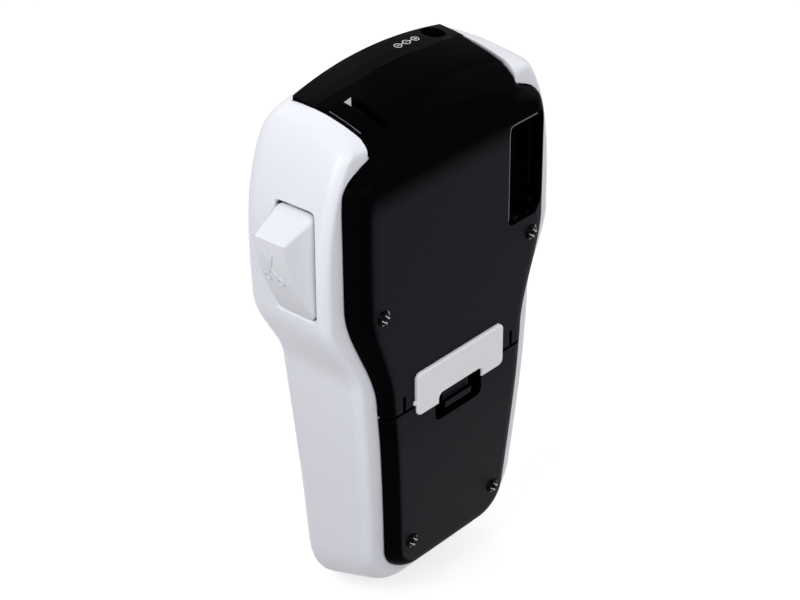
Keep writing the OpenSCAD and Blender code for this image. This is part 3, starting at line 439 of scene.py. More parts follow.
def soft_top(proud, edge, n=4):
    """Steps of a key: straight side, then a rounded edge to its top at -proud."""
    steps = [(0, 1.0)]
    for i in range(n + 1):
        a = math.pi / 2 * i / n
        steps.append((-edge * (1 - math.cos(a)), -(proud - edge) - edge * math.sin(a)))
    return steps


def join(name, objs):
    """One object of several meshes."""
    mesh = bpy.data.meshes.new(name)
    bm = bmesh.new()
    for o in objs:
        bm.from_mesh(o.data)
    bm.to_mesh(mesh)
    bm.free()
    for o in objs:
        bpy.data.objects.remove(o)
    obj = bpy.data.objects.new(name, mesh)
    bpy.context.scene.collection.objects.link(obj)
    return obj


# Materials

def tree(name):
    mat = bpy.data.materials.new(name)
    mat.use_nodes = True
    nodes, links = mat.node_tree.nodes, mat.node_tree.links
    return mat, nodes, links, nodes["Principled BSDF"]


def noise(nodes, links, scale, detail=3.0, rough=0.55):
    coord = nodes.new("ShaderNodeTexCoord")
    tex = nodes.new("ShaderNodeTexNoise")
    tex.inputs["Scale"].default_value = scale
    tex.inputs["Detail"].default_value = detail
    tex.inputs["Roughness"].default_value = rough
    links.new(coord.outputs["Object"], tex.inputs["Vector"])
    return tex.outputs["Fac"]


def spread(nodes, links, source, low, high, start=0.35, end=0.65):
    node = nodes.new("ShaderNodeMapRange")
    node.inputs["From Min"].default_value = start
    node.inputs["From Max"].default_value = end
    node.inputs["To Min"].default_value = low
    node.inputs["To Max"].default_value = high
    links.new(source, node.inputs["Value"])
    return node.outputs["Result"]


def tint(nodes, links, source, color, amount):
    """Colour that varies by amount around color."""
    mix = nodes.new("ShaderNodeMix")
    mix.data_type = "RGBA"
    mix.inputs["A"].default_value = (*[c * (1 - amount) for c in color], 1)
    mix.inputs["B"].default_value = (*[min(1, c * (1 + amount)) for c in color], 1)
    links.new(source, mix.inputs["Factor"])
    return mix.outputs["Result"]


def bumps(nodes, links, source, height, edge=0.0):
    """Normal with the source as height in metres, over edges rounded by edge in metres."""
    bump = nodes.new("ShaderNodeBump")
    bump.inputs["Strength"].default_value = 1.0
    bump.inputs["Distance"].default_value = height
    links.new(source, bump.inputs["Height"])
    if edge:
        bevel = nodes.new("ShaderNodeBevel")
        bevel.samples = 4
        bevel.inputs["Radius"].default_value = edge
        links.new(bevel.outputs["Normal"], bump.inputs["Normal"])
    return bump.outputs["Normal"]


def moulded(name, color, rough, grain=900.0, height=0.00002, tone=0.03, edge=0.0003, spec=0.5, metal=0.0):
    """Moulded or ground surface: cloudy tone, uneven gloss and a fine grain."""
    mat, nodes, links, shader = tree(name)
    cloud = noise(nodes, links, 35.0, 4.0)
    fine = noise(nodes, links, grain, 2.0)
    links.new(tint(nodes, links, cloud, color, tone), shader.inputs["Base Color"])
    links.new(spread(nodes, links, cloud, rough * 0.88, min(1, rough * 1.12)), shader.inputs["Roughness"])
    links.new(bumps(nodes, links, fine, height, edge), shader.inputs["Normal"])
    shader.inputs["Specular IOR Level"].default_value = spec
    shader.inputs["Metallic"].default_value = metal
    return mat


def cover_black():
    """Black cover: fine spark grain on the flat back, polished on the rounded edges."""
    mat, nodes, links, shader = tree("cover_black")
    coord = nodes.new("ShaderNodeTexCoord")
    split = nodes.new("ShaderNodeSeparateXYZ")
    links.new(coord.outputs["Normal"], split.inputs["Vector"])
    faces_back = spread(nodes, links, split.outputs["Y"], 0.0, 1.0, 0.955, 0.995)
    place = nodes.new("ShaderNodeSeparateXYZ")
    links.new(coord.outputs["Object"], place.inputs["Vector"])
    below_turn = spread(nodes, links, place.outputs["Z"], 1.0, 0.0, 0.120, 0.130)
    both_true = nodes.new("ShaderNodeMath")
    both_true.operation = "MULTIPLY"
    links.new(faces_back, both_true.inputs[0])
    links.new(below_turn, both_true.inputs[1])
    flat = both_true.outputs["Value"]
    grain = noise(nodes, links, 1500.0, 2.0, 0.6)
    for socket, shiny, dull in (("Roughness", 0.14, 0.40), ("Specular IOR Level", 0.004, 0.036)):
        links.new(spread(nodes, links, flat, shiny, dull, 0.0, 1.0), shader.inputs[socket])
    mix = nodes.new("ShaderNodeMix")
    mix.data_type = "RGBA"
    mix.inputs["A"].default_value = (0.0012, 0.0012, 0.0018, 1)
    links.new(tint(nodes, links, grain, (0.0066, 0.0063, 0.0098), 0.3), mix.inputs["B"])
    links.new(flat, mix.inputs["Factor"])
    links.new(mix.outputs["Result"], shader.inputs["Base Color"])
    height = nodes.new("ShaderNodeMath")
    height.operation = "MULTIPLY"
    links.new(grain, height.inputs[0])
    links.new(flat, height.inputs[1])
    links.new(bumps(nodes, links, height.outputs["Value"], 0.00006, 0.00035), shader.inputs["Normal"])
    return mat


# Colour, roughness and what differs from a plain moulding
SURFACES = {
    "white_housing": ((0.78, 0.79, 0.85), 0.38, dict(tone=0.012)),
    "white_lever": ((0.74, 0.75, 0.80), 0.42, dict(tone=0.012)),
    "black_frame": ((0.0016, 0.0016, 0.0024), 0.22, dict(tone=0.1, spec=0.008)),
    "tab_grey": ((0.80, 0.81, 0.83), 0.45, dict(grain=1400.0, height=0.00003)),
    "foot_black": ((0.0012, 0.0012, 0.0015), 0.15, dict(tone=0.1, spec=0.03)),
    "display_lens": ((0.010, 0.011, 0.014), 0.06, dict(height=0.000004, tone=0.1, spec=0.05)),
    "display": ((0.36, 0.41, 0.33), 0.3, dict()),
    "key_rubber": ((0.035, 0.037, 0.043), 0.6, dict(grain=1800.0, height=0.00004, tone=0.08)),
    "key_grey": ((0.42, 0.44, 0.47), 0.4, dict()),
    "key_dark": ((0.035, 0.037, 0.043), 0.45, dict(tone=0.08)),
    "key_blue": ((0.03, 0.13, 0.36), 0.4, dict(tone=0.06)),
    "board": ((0.02, 0.10, 0.05), 0.35, dict(tone=0.15)),
    "steel": ((0.55, 0.56, 0.58), 0.3, dict(grain=2500.0, metal=1.0)),
    "contact_metal": ((0.72, 0.72, 0.70), 0.2, dict(metal=1.0, edge=0.0)),
    "jack_black": ((0.012, 0.012, 0.013), 0.4, dict(tone=0.1)),
    "carriage_grey": ((0.5, 0.51, 0.52), 0.45, dict()),
    "roller_rubber": ((0.02, 0.02, 0.021), 0.7, dict(tone=0.1)),
    "head_ceramic": ((0.36, 0.22, 0.1), 0.35, dict(tone=0.1)),
    "aluminium": ((0.62, 0.63, 0.64), 0.38, dict(grain=2000.0, metal=1.0)),
    "spindle_white": ((0.62, 0.62, 0.59), 0.45, dict()),
    "print_white": ((0.62, 0.63, 0.65), 0.5, dict(edge=0.0)),
    "print_grey": ((0.36, 0.37, 0.38), 0.5, dict(edge=0.0)),
    # painted highlight: light grey of the thin lines on the black edges, standing in for lamp glints
    "painted_edge_highlight": ((0.13, 0.13, 0.14), 0.3, dict(edge=0.0)),
    # painted highlight: light grey of the reflections on the feet
    "painted_foot_highlight": ((0.42, 0.42, 0.43), 0.3, dict(edge=0.0)),
}
MATERIALS = {name: moulded(name, color, rough, **more)
             for name, (color, rough, more) in SURFACES.items()}
MATERIALS["black_cover"] = cover_black()


def dress(obj, body, slot, *nodes, paint=None):
    """Gives a piece its material, its body and the solids that it stands for."""
    obj.data.materials.clear()
    obj.data.materials.append(MATERIALS[paint or slot])
    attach(obj, body)
    if nodes:
        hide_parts(*nodes)
    return obj


# White housing

def shell_ring(z):
    z = min(z, Z_TOP - 0.3)
    half = float(side_x(z) - corner_cut(z - Z_BOTTOM, LOW_CORNER))
    front = float(face_y(z))
    back = max(min(float(rim(z)), float(drop_at(SIDE_Z - z))), front + 14)
    ring = section(half, front, back, min(EDGE_FRONT, (back - front) / 2 - 0.5), EDGE_RIM)
    return [(x, y, z + float(slant(z)) * (y - LOW_REF)) for x, y in ring]


def closing(levels, low, high, n=6):
    """Adds levels that close a form softly at both ends."""
    start = [low + (levels[0] - low) * (i / n) ** 2 for i in range(n)]
    end = [high - (high - levels[-1]) * (i / n) ** 2 for i in range(n - 1, -1, -1)]
    return start + levels + end


def make_shell():
    """White housing with its openings."""
    stretches = levels_of((-53.5, -30, 18), (-30, 34, 22), (34, 90, 40), (90, 122, 16), (122, 153.2, 46))
    levels = closing(stretches, Z_BOTTOM + 0.05, Z_TOP - 0.35)
    coarse = levels[::2] + [levels[-1]]
    shell = skin("shell", shell_form, levels, shell_ring, *SHELL_AXIS)
    cavity = skin("cavity", lambda x, y, z: shell_form(x, y, z) + WALL, coarse, shell_ring, *SHELL_AXIS)
    zs = np.linspace(COVER_LOW + 2, SHOULDER_HIGH, 120)
    half = cover_half(zs) - FLANGE - corner_cut(zs - COVER_LOW, COVER_CORNER)
    opening = [(h, z) for h, z in zip(half, zs)] + [(-h, z) for h, z in zip(half[::-1], zs[::-1])]
    tools = [
        cavity,
        prism_y("under_covers", opening, COVER_FRONT, BEHIND),
        prism_z("top_gap", top_plan(RIM_GAP), SHOULDER_HIGH - 0.7, Z_TOP + 4),
        front_hole("lens_seat", lens_seat_outline, 0, LENS_Z, 0.4, LENS_T + 0.1),
        front_hole("lens_hole", lambda g: rounded(LENS_W - 8, LENS_H - 6, 2), 0, LENS_Z, 0.0, 7),
        front_hole("pad_hole", lambda g: pad_outline(0.15 + g)),
        front_hole("nav_hole", lambda g: circle(NAV_R + RUN_GAP + g, 72), 0, NAV_Z),
    ]
    for side in (-1, 1):
        tools.append(front_hole("side_hole", side_hole_outline, side * SIDE_KEY_X, NAV_Z))
    tools.append(lever_hole())
    carve(shell, tools)
    dress(soften(shell), "housing", "white_housing", "front_shell")


def top_plan(more):
    """Outline of the black top from above, its front edge bowed."""
    half = TOP_HALF + more
    front = [(half * t, STRIP_FRONT + STRIP_BOW * t * t - more) for t in np.linspace(-1, 1, 33)]
    return front + [(half, BEHIND), (-half, BEHIND)]


def lens_seat_outline(more):
    return rounded(LENS_W + 0.2 + 2 * more, LENS_H + 0.2 + 2 * more, 4 + more)


def side_hole_outline(more):
    return rounded(SIDE_KEY_W + 2 * RUN_GAP + 2 * more, SIDE_KEY_H + 2 * RUN_GAP + 2 * more, 3 + more)


def pad_outline(more):
    """Outline of the rubber mat, its corners cut."""
    t, low = PAD_TOP + more, PAD_LOW - more
    a, b = PAD_HALF_TOP + more, PAD_HALF_LOW + more
    right = [(a - 4, t), (a, t - 4), (b + 0.8, low + 4), (b - 4, low)]
    return right + [(-x, z) for x, z in reversed(right)]


def lever_plane(a, b):
    """Depth and height of a point given across and along the tilted lever."""
    c, s = math.cos(CUT_TILT), math.sin(CUT_TILT)
    return CUT_Y + c * a - s * b, CUT_MID + s * a + c * b


def lever_hole():
    """Opening for the lever, with a softened mouth."""
    rings = []
    for grow, out in ((0, -9.0), (0, -0.7), (0.6, -0.1), (4.6, 4.0)):
        outline = rounded(CUT_W + 2 * grow, 2 * (CUT_HALF + grow), 2.2 + grow)
        points = [lever_plane(a, b) for a, b in outline]
        rings.append([(float(side_x(z)) + out, y, z) for y, z in points])
    return stack("lever_hole", rings)


# Black covers

def cover_ring(z):
    half = float(cover_half(z) - corner_cut(z - COVER_LOW, COVER_CORNER))
    back = float(back_flat(z))
    if z > TURN_Z:
        rise = min((z - TURN_Z) / EDGE_TURN, 0.985)
        back = Y_BACK - EDGE_TURN + EDGE_TURN * math.sqrt(1 - rise * rise)
        back = min(back, max(float(drop_at(Z_TOP - z)), -12.0))
    ring = section(half, COVER_FRONT, back, 1.0, 5.0, n_corner=10, n_flat=56, n_side=8)
    return [(x, y, z) for x, y in ring]


def cut_line():
    """Front boundary of the covers in depth and height: the rim, then the swing of the lid's front edge."""
    low, high, ahead = -62, 175, -60
    zs = np.linspace(low, UNDER_TOP_Z, 110)
    line = [(float(rim(z)) + RIM_GAP, z) for z in zs]
    reach = math.hypot(HINGE_Y - LID_SEAM_Y, top_z(0, LID_SEAM_Y) - HINGE_Z)
    start = math.asin((UNDER_TOP_Z - HINGE_Z) / reach)
    for i in range(13):
        a = start + (math.radians(62) - start) * i / 12
        line.append((HINGE_Y - reach * math.cos(a), HINGE_Z + reach * math.sin(a)))
    return line + [(line[-1][0], high), (ahead, high), (ahead, low)]


def make_covers():
    """Both covers from one skin, cut apart at the seam."""
    stretches = levels_of((-49.2, -34, 16), (-34, 34, 24), (34, 90, 36), (90, 128, 16), (128, 152.5, 66))
    levels = closing(stretches, COVER_LOW + 0.03, 155.0)
    coarse = levels[::2] + [levels[-1]]

    def outer(x, y, z):
        return np.maximum(cover_form(x, y, z), COVER_FRONT - y)

    def inner(x, y, z):
        return np.maximum(cover_form(x, y, z) + COVER_WALL, COVER_FRONT - 4 - y)

    upper = skin("upper_cover", outer, levels, cover_ring, *COVER_AXIS)
    hollow = skin("hollow", inner, coarse, cover_ring, *COVER_AXIS)
    rim_y = float(rim(UNDER_TOP_Z)) + RIM_GAP
    low, inside = UNDER_TOP_Z - 1, TOP_HALF - 0.1
    beside = [block("beside_top", side * 60, side * inside, -DEEP, rim_y, low, SHOULDER_HIGH)
              for side in (-1, 1)]
    carve(upper, [hollow, prism_x("front_of_covers", cut_line(), -WIDE, WIDE)] + beside)
    lower = upper.copy()
    lower.data = upper.data.copy()
    lower.name = "lower_cover"
    bpy.context.scene.collection.objects.link(lower)
    cut_upper(upper)
    cut_lower(lower)


def foot_holes(x, z):
    y = float(back_flat(z))
    return [prism_y("foot_hole", circle(FOOT_R + 0.25), y - 1.2, y + 4, side * x, z) for side in (-1, 1)]


def cut_upper(upper):
    """Upper cover with window, slot, slits and the seat of the tab, and its tongue in the finger pocket."""
    edge_x = -COVER_HEAD
    window = [(WINDOW_X, WINDOW_LOW + 1.5), (WINDOW_X, WINDOW_HIGH - 2), (WINDOW_X - 0.6, WINDOW_HIGH - 0.6),
              (WINDOW_X - 2, WINDOW_HIGH), (edge_x + 5.5, WINDOW_HIGH), (edge_x + 5.5, WINDOW_LOW + 6),
              (edge_x + 10, WINDOW_LOW), (WINDOW_X - 1.5, WINDOW_LOW)]
    slot = rounded(SLOT_W, SLOT_LEN, SLOT_W / 2, 8)
    seat = rounded(TAB_W + 0.4, TAB_H + 0.4, TAB_CORNER + 0.1)
    slit = rounded(SLIT_W, SLIT_LEN + 2, 0.7)
    slit_z = SEAM_Z + SLIT_LEN / 2 - 1
    tools = [block("below_seam", -WIDE, WIDE, -DEEP, DEEP, BELOW, SEAM_Z + SEAM_GAP / 2),
             prism_y("window", window, UNDER_BACK, BEHIND),
             prism_z("label_slot", slot, SHOULDER_LOW, 165, SLOT_X, SLOT_Y),
             prism_y("tab_seat", seat, Y_BACK - TAB_SUNK, BEHIND, 0, TAB_MID_Z)]
    tools += [prism_y("slit", slit, UNDER_BACK, BEHIND, side * SLIT_X, slit_z) for side in (-1, 1)]
    carve(upper, tools + foot_holes(*FOOT_UP))
    under = Y_BACK - TONGUE_UNDER
    stem = block("stem", -TONGUE_HALF, TONGUE_HALF, under, under + 1.6, TONGUE_LOW + 0.1, SEAM_Z + 0.3)
    end = block("end", -TONGUE_HALF, TONGUE_HALF, under, Y_BACK - 0.1, TONGUE_LOW, TONGUE_LOW + 2.6)
    dress(soften(join("lid_tongue", [stem, end])), "cassette_lid", "black_cover")
    dress(soften(upper), "cassette_lid", "black_cover", "cassette_cover")


def cut_lower(lower):
    """Lower cover with the finger pocket."""
    pocket = rounded(POCKET_W, POCKET_H, POCKET_R)
    tools = [block("above_seam", -WIDE, WIDE, -DEEP, DEEP, SEAM_Z - SEAM_GAP / 2 - SEAM_WIDER, ABOVE),
             prism_y("finger_pocket", pocket, UNDER_BACK - 2, BEHIND, 0, SEAM_Z - POCKET_BELOW)]
    carve(lower, tools + foot_holes(*FOOT_DOWN))
    dress(soften(lower), "battery_lid", "black_cover", "battery_cover")


# Small pieces of the back

def on_top(x, y):
    return (x, y, float(top_z(x, y)))


def make_top_signs():
    """Printed signs of the black top: polarity of the socket and arrow at the slot."""
    row = [(-10.4, -17.6), (-15.0, -17.7), (-19.6, -17.8)]
    r, arm, dot = 1.45, 0.8, 0.4
    lines = [[(x + a, y + b) for a, b in circle(r, 25)] + [(x + r, y)] for x, y in row]
    lines += [[(a[0] - r, a[1]), (b[0] + r, b[1])] for a, b in zip(row, row[1:])]
    for (x, y), u, v in ((row[0], arm, 0), (row[2], arm, 0), (row[2], 0, arm), (row[1], dot, 0)):
        lines.append([(x - u, y - v), (x + u, y + v)])
    parts = [ribbon("line", [on_top(*q) for q in line], 0.34, (0, 0, 1), 0.03) for line in lines]
    dress(join("polarity_sign", parts), "housing", "black_frame", paint="print_white")
    corners = [on_top(*q) for q in ((29.8, -5.6), (26.2, -5.7), (29.6, -2.3))]
    arrow = stack("slot_arrow", [[(x, y, z + up) for x, y, z in corners] for up in (-0.3, 0.04)])
    dress(arrow, "cassette_lid", "black_cover", paint="print_grey")


def foot_height(a, b):
    """Height of a foot's dome at a distance from its middle."""
    low = (FOOT_R ** 2 - FOOT_TIP ** 2 - FOOT_PROUD ** 2) / (2 * FOOT_PROUD)
    return min(FOOT_PROUD, math.sqrt(FOOT_R ** 2 + low ** 2 - a * a - b * b) - low)


def foot_highlight_marks(x, z):
    """Painted highlights of a foot: two raised light bars on its dome, painted as the reflections of two
    strip lamps, and an arc of painted highlight on one side of the edge of its hole.
    """
    y = float(back_flat(z))
    marks = []
    # each bar is a painted reflection of a strip lamp on the dome
    for k in (-1, 1):
        bar = [(0.76 * k + 1.2 * s, 1.1 * s - 0.65 * k) for s in (-1, -0.5, 0, 0.5, 1)]
        path = [(x + a, y + foot_height(a, b), z + b) for a, b in bar]
        marks.append(ribbon("bar", path, 0.62, (0, 1, 0), 0.05, 0.5))
    # arc of painted highlight on the lit side of the hole's edge
    r = FOOT_R + 0.4
    around = [(x + r * math.cos(a), y, z + r * math.sin(a)) for a in np.radians(range(140, 292, 8))]
    return marks + [ribbon("arc", around, 0.3, (0, 1, 0), 0.03)]


def make_painted_highlights():
    """Painted highlights: light lines along the edges of the black cover and of its window, and the painted
    highlights of the feet.
    """
    lines = []
    # painted highlights along the top edges of the cover, light lines where lamps glint on the black gloss
    for side in (-1, 1):
        path = [on_top(side * 36.7, y) for y in np.linspace(-6, 9, 12)]
        lines.append(ribbon("edge_line", path, 0.22, (0, 0, 1)))
    # painted highlight along the polished chamfer of the window's left and top edges
    frame_line = [(WINDOW_X + 0.2, Y_BACK, WINDOW_LOW + 3), (WINDOW_X + 0.2, Y_BACK, WINDOW_HIGH - 2),
                  (WINDOW_X - 0.4, Y_BACK, WINDOW_HIGH - 0.3), (WINDOW_X - 2, Y_BACK, WINDOW_HIGH + 0.2),
                  (WINDOW_X - 15, Y_BACK, WINDOW_HIGH + 0.2)]
    lines.append(ribbon("window_edge_highlight", frame_line, 0.3, (0, 1, 0), 0.02))
    dress(join("cover_edge_highlights", lines), "cassette_lid", "black_cover", paint="painted_edge_highlight")
    # painted highlights of the feet, riding on their lids
    feet = (("upper_foot_highlights", FOOT_UP, "cassette_lid"), ("lower_foot_highlights", FOOT_DOWN, "battery_lid"))
    for name, (x, z), body in feet:
        dress(join(name, foot_highlight_marks(-x, z) + foot_highlight_marks(x, z)), body, "foot_black", paint="painted_foot_highlight")


def make_liner():
    """Black liner of the opening behind the window."""
    side = block("side", LINER_X - 0.65, LINER_X, 7, LINER_BACK, LINER_LOW, 131)
    ledge = block("ledge", LINER_X - 2.3, LINER_X, LINER_BACK - 0.18, LINER_BACK, LINER_LOW, 127)
    dress(join("window_liner", [side, ledge]), "housing", "black_frame")


def make_tab():
    """Light grey tab with soft edges and a notch for the finger."""
    y0, y1 = Y_BACK - TAB_SUNK + 0.05, Y_BACK + TAB_PROUD
    side_y = y1 - TAB_EDGE
    steps = [(0, y0), (0, side_y)]
    for a in np.radians((22, 45, 68, 90)):
        steps.append((-TAB_EDGE * (1 - math.cos(a)), side_y + TAB_EDGE * math.sin(a)))
    rings = []
    for grow, y in steps:
        outline = rounded(TAB_W + 2 * grow, TAB_H + 2 * grow, TAB_CORNER + grow, 8)
        rings.append([(a, y, TAB_MID_Z + b) for a, b in outline])
    tab = stack("tab", rings)
    notch_z = SEAM_Z + TAB_ABOVE - TAB_H
    notch = []
    for grow, y in ((0, y0 - 2), (0, y1 - 0.5), (0.5, y1), (3.5, y1 + 3)):
        outline = rounded(NOTCH_W + 2 * grow, 2 * (NOTCH_H + grow), NOTCH_CORNER + grow, 8)
        notch.append([(a, y, notch_z + b) for a, b in outline])
    seam = block("seam", -DEEP, DEEP, 0, Y_BACK + 0.35, 0, SEAM_Z + SEAM_GAP / 2)
    carve(tab, [stack("notch", notch), seam])
    side_x0, side_x1 = TAB_W / 2 - 0.6, TAB_W / 2 + 1.0
    nib = block("tab_nib", side_x0, side_x1, Y_BACK - 0.1, Y_BACK + 0.7, SEAM_Z + 0.7, SEAM_Z + 2.3)
    dress(nib, "cassette_lid", "tab_grey")
    dress(soften(tab, 40), "cassette_lid", "tab_grey", "lift_tab")


def lever_rings():
    """Rings of the thumb wedge: flat top face, crisp ridge and a bulged slope below it."""
    w, ridge_w = CUT_W - 2 * RUN_GAP, CUT_W - RIDGE_NARROWER
    low, high, ridge = RUN_GAP - CUT_HALF, CUT_HALF - 1.0, CUT_RIDGE_Z - CUT_MID
    rings = []
    for i in range(-1, 25):
        s = max(i, 0) / 24
        t = 1 - (1 - s) ** 2
        bottom = ridge - (ridge - low) * (1 - s)
        top = high + (ridge - high) * t
        tall = max(top - bottom, 0.06)
        wide = w + (ridge_w - w) * t
        corner = min(CUT_CORNER + (RIDGE_CORNER - CUT_CORNER) * t, 0.49 * tall)
        ring = []
        for a, b in rounded(wide, tall, corner, 8):
            y, z = lever_plane(a, (top + bottom) / 2 + b)
            x = CUT_PIN_X + 3 if i < 0 else (float(side_x(z)) - CUT_SUNK) * (1 - t) + CUT_RIDGE_X * t
            ring.append((x, y, z))
        rings.append(ring)
    return rings


def slope_point(y, z):
    """Point on the bulged slope of the lever."""
    low, ridge = CUT_LOW + RUN_GAP, CUT_RIDGE_Z
    rest = min(max((ridge - z) / (ridge - low), 0.0), 1.0) ** 2
    return ((float(side_x(z)) - CUT_SUNK) * rest + CUT_RIDGE_X * (1 - rest), y, z)


def make_scissors():
    """Raised cutting sign on the slope."""
    cross = (-2.6, 103.3)
    strokes = []
    for tip, hand in (((-5.4, 111.0), (0.9, 98.6)), ((-0.4, 111.0), (-5.4, 98.6))):
        near = (hand[0] + 0.2 * (cross[0] - hand[0]), hand[1] + 0.34 * (cross[1] - hand[1]))
        line = between(tip, cross, 8) + between(cross, near, 6)
        strokes.append(ribbon("blade_line", [slope_point(*q) for q in line], 0.7, (1, 0, 0), 0.4, 0.6))
        loop = [(hand[0] + a, hand[1] + b) for a, b in circle(1.5, 25)]
        strokes.append(ribbon("loop_line", [slope_point(*q) for q in loop], 0.6, (1, 0, 0), 0.4, 0.6))
    dress(soften(join("cut_sign", strokes)), "lever", "white_lever")


def make_lever():
    """Thumb wedge on its plate and arm."""
    make_scissors()
    wedge = stack("wedge", lever_rings())
    half = CUT_W / 2 - RUN_GAP - 3
    x0, x1 = CUT_PIN_X - 2, CUT_PIN_X + 3.5
    plate = block("plate", x0, x1, CUT_Y - half, CUT_Y + half, CUT_PIN_Z - 3, PLATE_TOP)
    y0, y1, low = SLOT_Y - 4, SLOT_Y + 3, PLATE_TOP - 3
    arm = block("arm", ARM_X, ARM_X + 2.5, y0, y1, low, ARM_TOP)
    bridge = block("bridge", ARM_X, CUT_PIN_X - 1, y0, y1, low, PLATE_TOP)
    whole = join("thumb_lever", [wedge, plate, arm, bridge])
    dress(soften(whole, 40), "lever", "white_lever", "cutter_lever")


# Front

def row_z(row):
    return PAD_TOP - FIRST_ROW - row * ROW_PITCH


def letter_keys():
    """Letter, place across and height of each letter key."""
    for row, text in enumerate(LETTER_ROWS):
        for k, letter in enumerate(text):
            yield letter, (k - (len(text) - 1) / 2) * KEY_PITCH, row_z(row)


def make_keypad():
    """Rubber mat with rounded keys."""
    last = row_z(len(LETTER_ROWS))
    keys = [(x, z, KEY_W) for letter, x, z in letter_keys()]
    keys += [(x, last, KEY_W) for text, x in LOW_KEYS] + [(0, last, SPACE_W)]
    parts = [front_stack("mat", pad_outline, [(0, 3.0), (0, 0.6), (-0.3, 0.3)])]
    for x, z, w in keys:
        parts.append(front_stack("key", lambda g, w=w: rounded(w + 2 * g, KEY_H + 2 * g, 1.4 + g, 5),
                                 soft_top(KEY_PROUD, 0.6), x, z))
    mat = join("keypad_mat", parts)
    dress(soften(mat, 40), "housing", "key_rubber", "keypad")


def lettering(name, words, paint, body="housing", slot="key_rubber"):
    """Flat printed signs on the front: (text, x, z, y, size)."""
    parts = []
    for text, x, z, y, size in words:
        curve = bpy.data.curves.new("sign", "FONT")
        curve.body = text
        curve.size = size * MM
        curve.align_x = "CENTER"
        curve.align_y = "CENTER"
        curve.extrude = 0.03 * MM
        curve.resolution_u = 4
        sign = bpy.data.objects.new("sign", curve)
        bpy.context.scene.collection.objects.link(sign)
        px, py, pz = on_front([(0, y, 0)], x, z)[0]
        turn = Matrix.Rotation(math.pi / 2 + FRONT_TILT, 4, "X")
        bpy.context.view_layer.update()
        mesh = bpy.data.meshes.new_from_object(sign.evaluated_get(bpy.context.evaluated_depsgraph_get()))
        mesh.transform(Matrix.Translation((px * MM, py * MM, pz * MM)) @ turn)
        bpy.data.objects.remove(sign)
        flat = bpy.data.objects.new("sign_mesh", mesh)
        bpy.context.scene.collection.objects.link(flat)
        parts.append(flat)
    dress(join(name, parts), body, slot, paint=paint)


def make_signs():
    """Letters and short words of the mat's keys."""
    words = [(letter, x, z, PRINT_Y, 4.0) for letter, x, z in letter_keys()]
    words += [(text, x, row_z(len(LETTER_ROWS)), PRINT_Y, 2.9) for text, x in LOW_KEYS]
    lettering("key_letters", words, "print_white")


def make_key_signs():
    """Arrows of the ring, the power sign and short words of the other keys."""
    arrows = []
    for k in range(4):
        a = math.pi / 2 * k
        tip = [(0.0, 10.2), (-1.4, 8.5), (1.4, 8.5)]
        turned_tip = [(u * math.cos(a) - v * math.sin(a), u * math.sin(a) + v * math.cos(a)) for u, v in tip]
        steps = [(0, -0.7), (0, -KEY_PROUD + 0.08)]
        arrows.append(front_stack("arrow", lambda g, q=turned_tip: q, steps, 0, NAV_Z))
    dress(join("ring_arrows", arrows), "arrow_ring", "key_grey", paint="key_dark")
    bow = [(2.0 * math.cos(a), PRINT_Y, 2.0 * math.sin(a)) for a in np.radians(np.linspace(125, 415, 22))]
    stem = [(0.0, PRINT_Y, 0.7), (0.0, PRINT_Y, 2.7)]
    lines = [ribbon("line", on_front(q, -SIDE_KEY_X, NAV_Z), 0.45, (0, -1, 0), 0.02) for q in (bow, stem)]
    dress(join("power_sign", lines), "power_button", "key_dark", paint="print_white")
    word = [("PRINT", SIDE_KEY_X, NAV_Z, PRINT_Y, 3.6)]
    lettering("print_word", word, "print_white", "print_button", "key_blue")
    word = [("OK", 0, NAV_Z, PRINT_Y - 0.3, 3.2)]
    lettering("centre_word", word, "print_white", "centre_key", "key_dark")


def make_display():
    """Pale panel seen in the lens, with a sample label."""
    panel = front_stack("lcd_panel", lambda g: rounded(70, 20, 1.0), [(0, 0.5), (0, -0.02)], 0, LENS_Z)
    dress(panel, "housing", "display")
    words = [("Abc 123", -8, LENS_Z - 1.8, -0.05, 11.0), ("A", -31, LENS_Z + 7.4, -0.05, 3.2),
             ("12 mm", 26, LENS_Z + 7.4, -0.05, 3.2), ("1/1", 29, LENS_Z - 6, -0.05, 3.2)]
    lettering("lcd_words", words, "key_dark", "housing", "display")


def round_edge(r, y, edge=0.9):
    """Rounded outer edge of a turned key, from its side to its top."""
    return [(r - edge * (1 - math.cos(a)), y - edge * math.sin(a)) for a in np.radians((30, 60, 90))]


def make_ring():
    """Ring of arrow keys, dished and soft at both edges."""
    top, inner, base = -KEY_PROUD, OK_R + RUN_GAP, 3.2
    profile = [(NAV_R, base), (NAV_R, top + 0.9)] + round_edge(NAV_R, top + 0.9)
    profile += [(inner + 2.2, top + 0.35), (inner + 0.5, top + 0.45), (inner, top + 0.9), (inner, base)]
    return turned("arrow_ring_top", profile, True)


def make_centre():
    """Centre key, slightly dished."""
    top = -KEY_PROUD
    profile = [(OK_R, 3.0), (OK_R, top + 0.5)] + round_edge(OK_R, top + 0.5)
    profile += [(OK_R * 0.5, top - 0.3), (0.4, top - 0.22)]
    return turned("centre_key_top", profile, False)


def turned(name, profile, hollow, n=96):
    """Revolved form on the front face, about the middle of the arrow ring."""
    rings = []
    for i in range(n):
        a = 2 * math.pi * i / n
        rings.append(on_front([(r * math.cos(a), y, r * math.sin(a)) for r, y in profile], 0, NAV_Z))
    m = len(profile)
    faces = []
    for i in range(n):
        k = (i + 1) % n
        for j in range(m if hollow else m - 1):
            q = (j + 1) % m
            faces.append((i * m + j, k * m + j, k * m + q, i * m + q))
    if not hollow:
        faces.append(tuple(i * m for i in range(n)))
        faces.append(tuple(i * m + m - 1 for i in range(n - 1, -1, -1)))
    return mesh_object(name, [p for ring in rings for p in ring], faces)


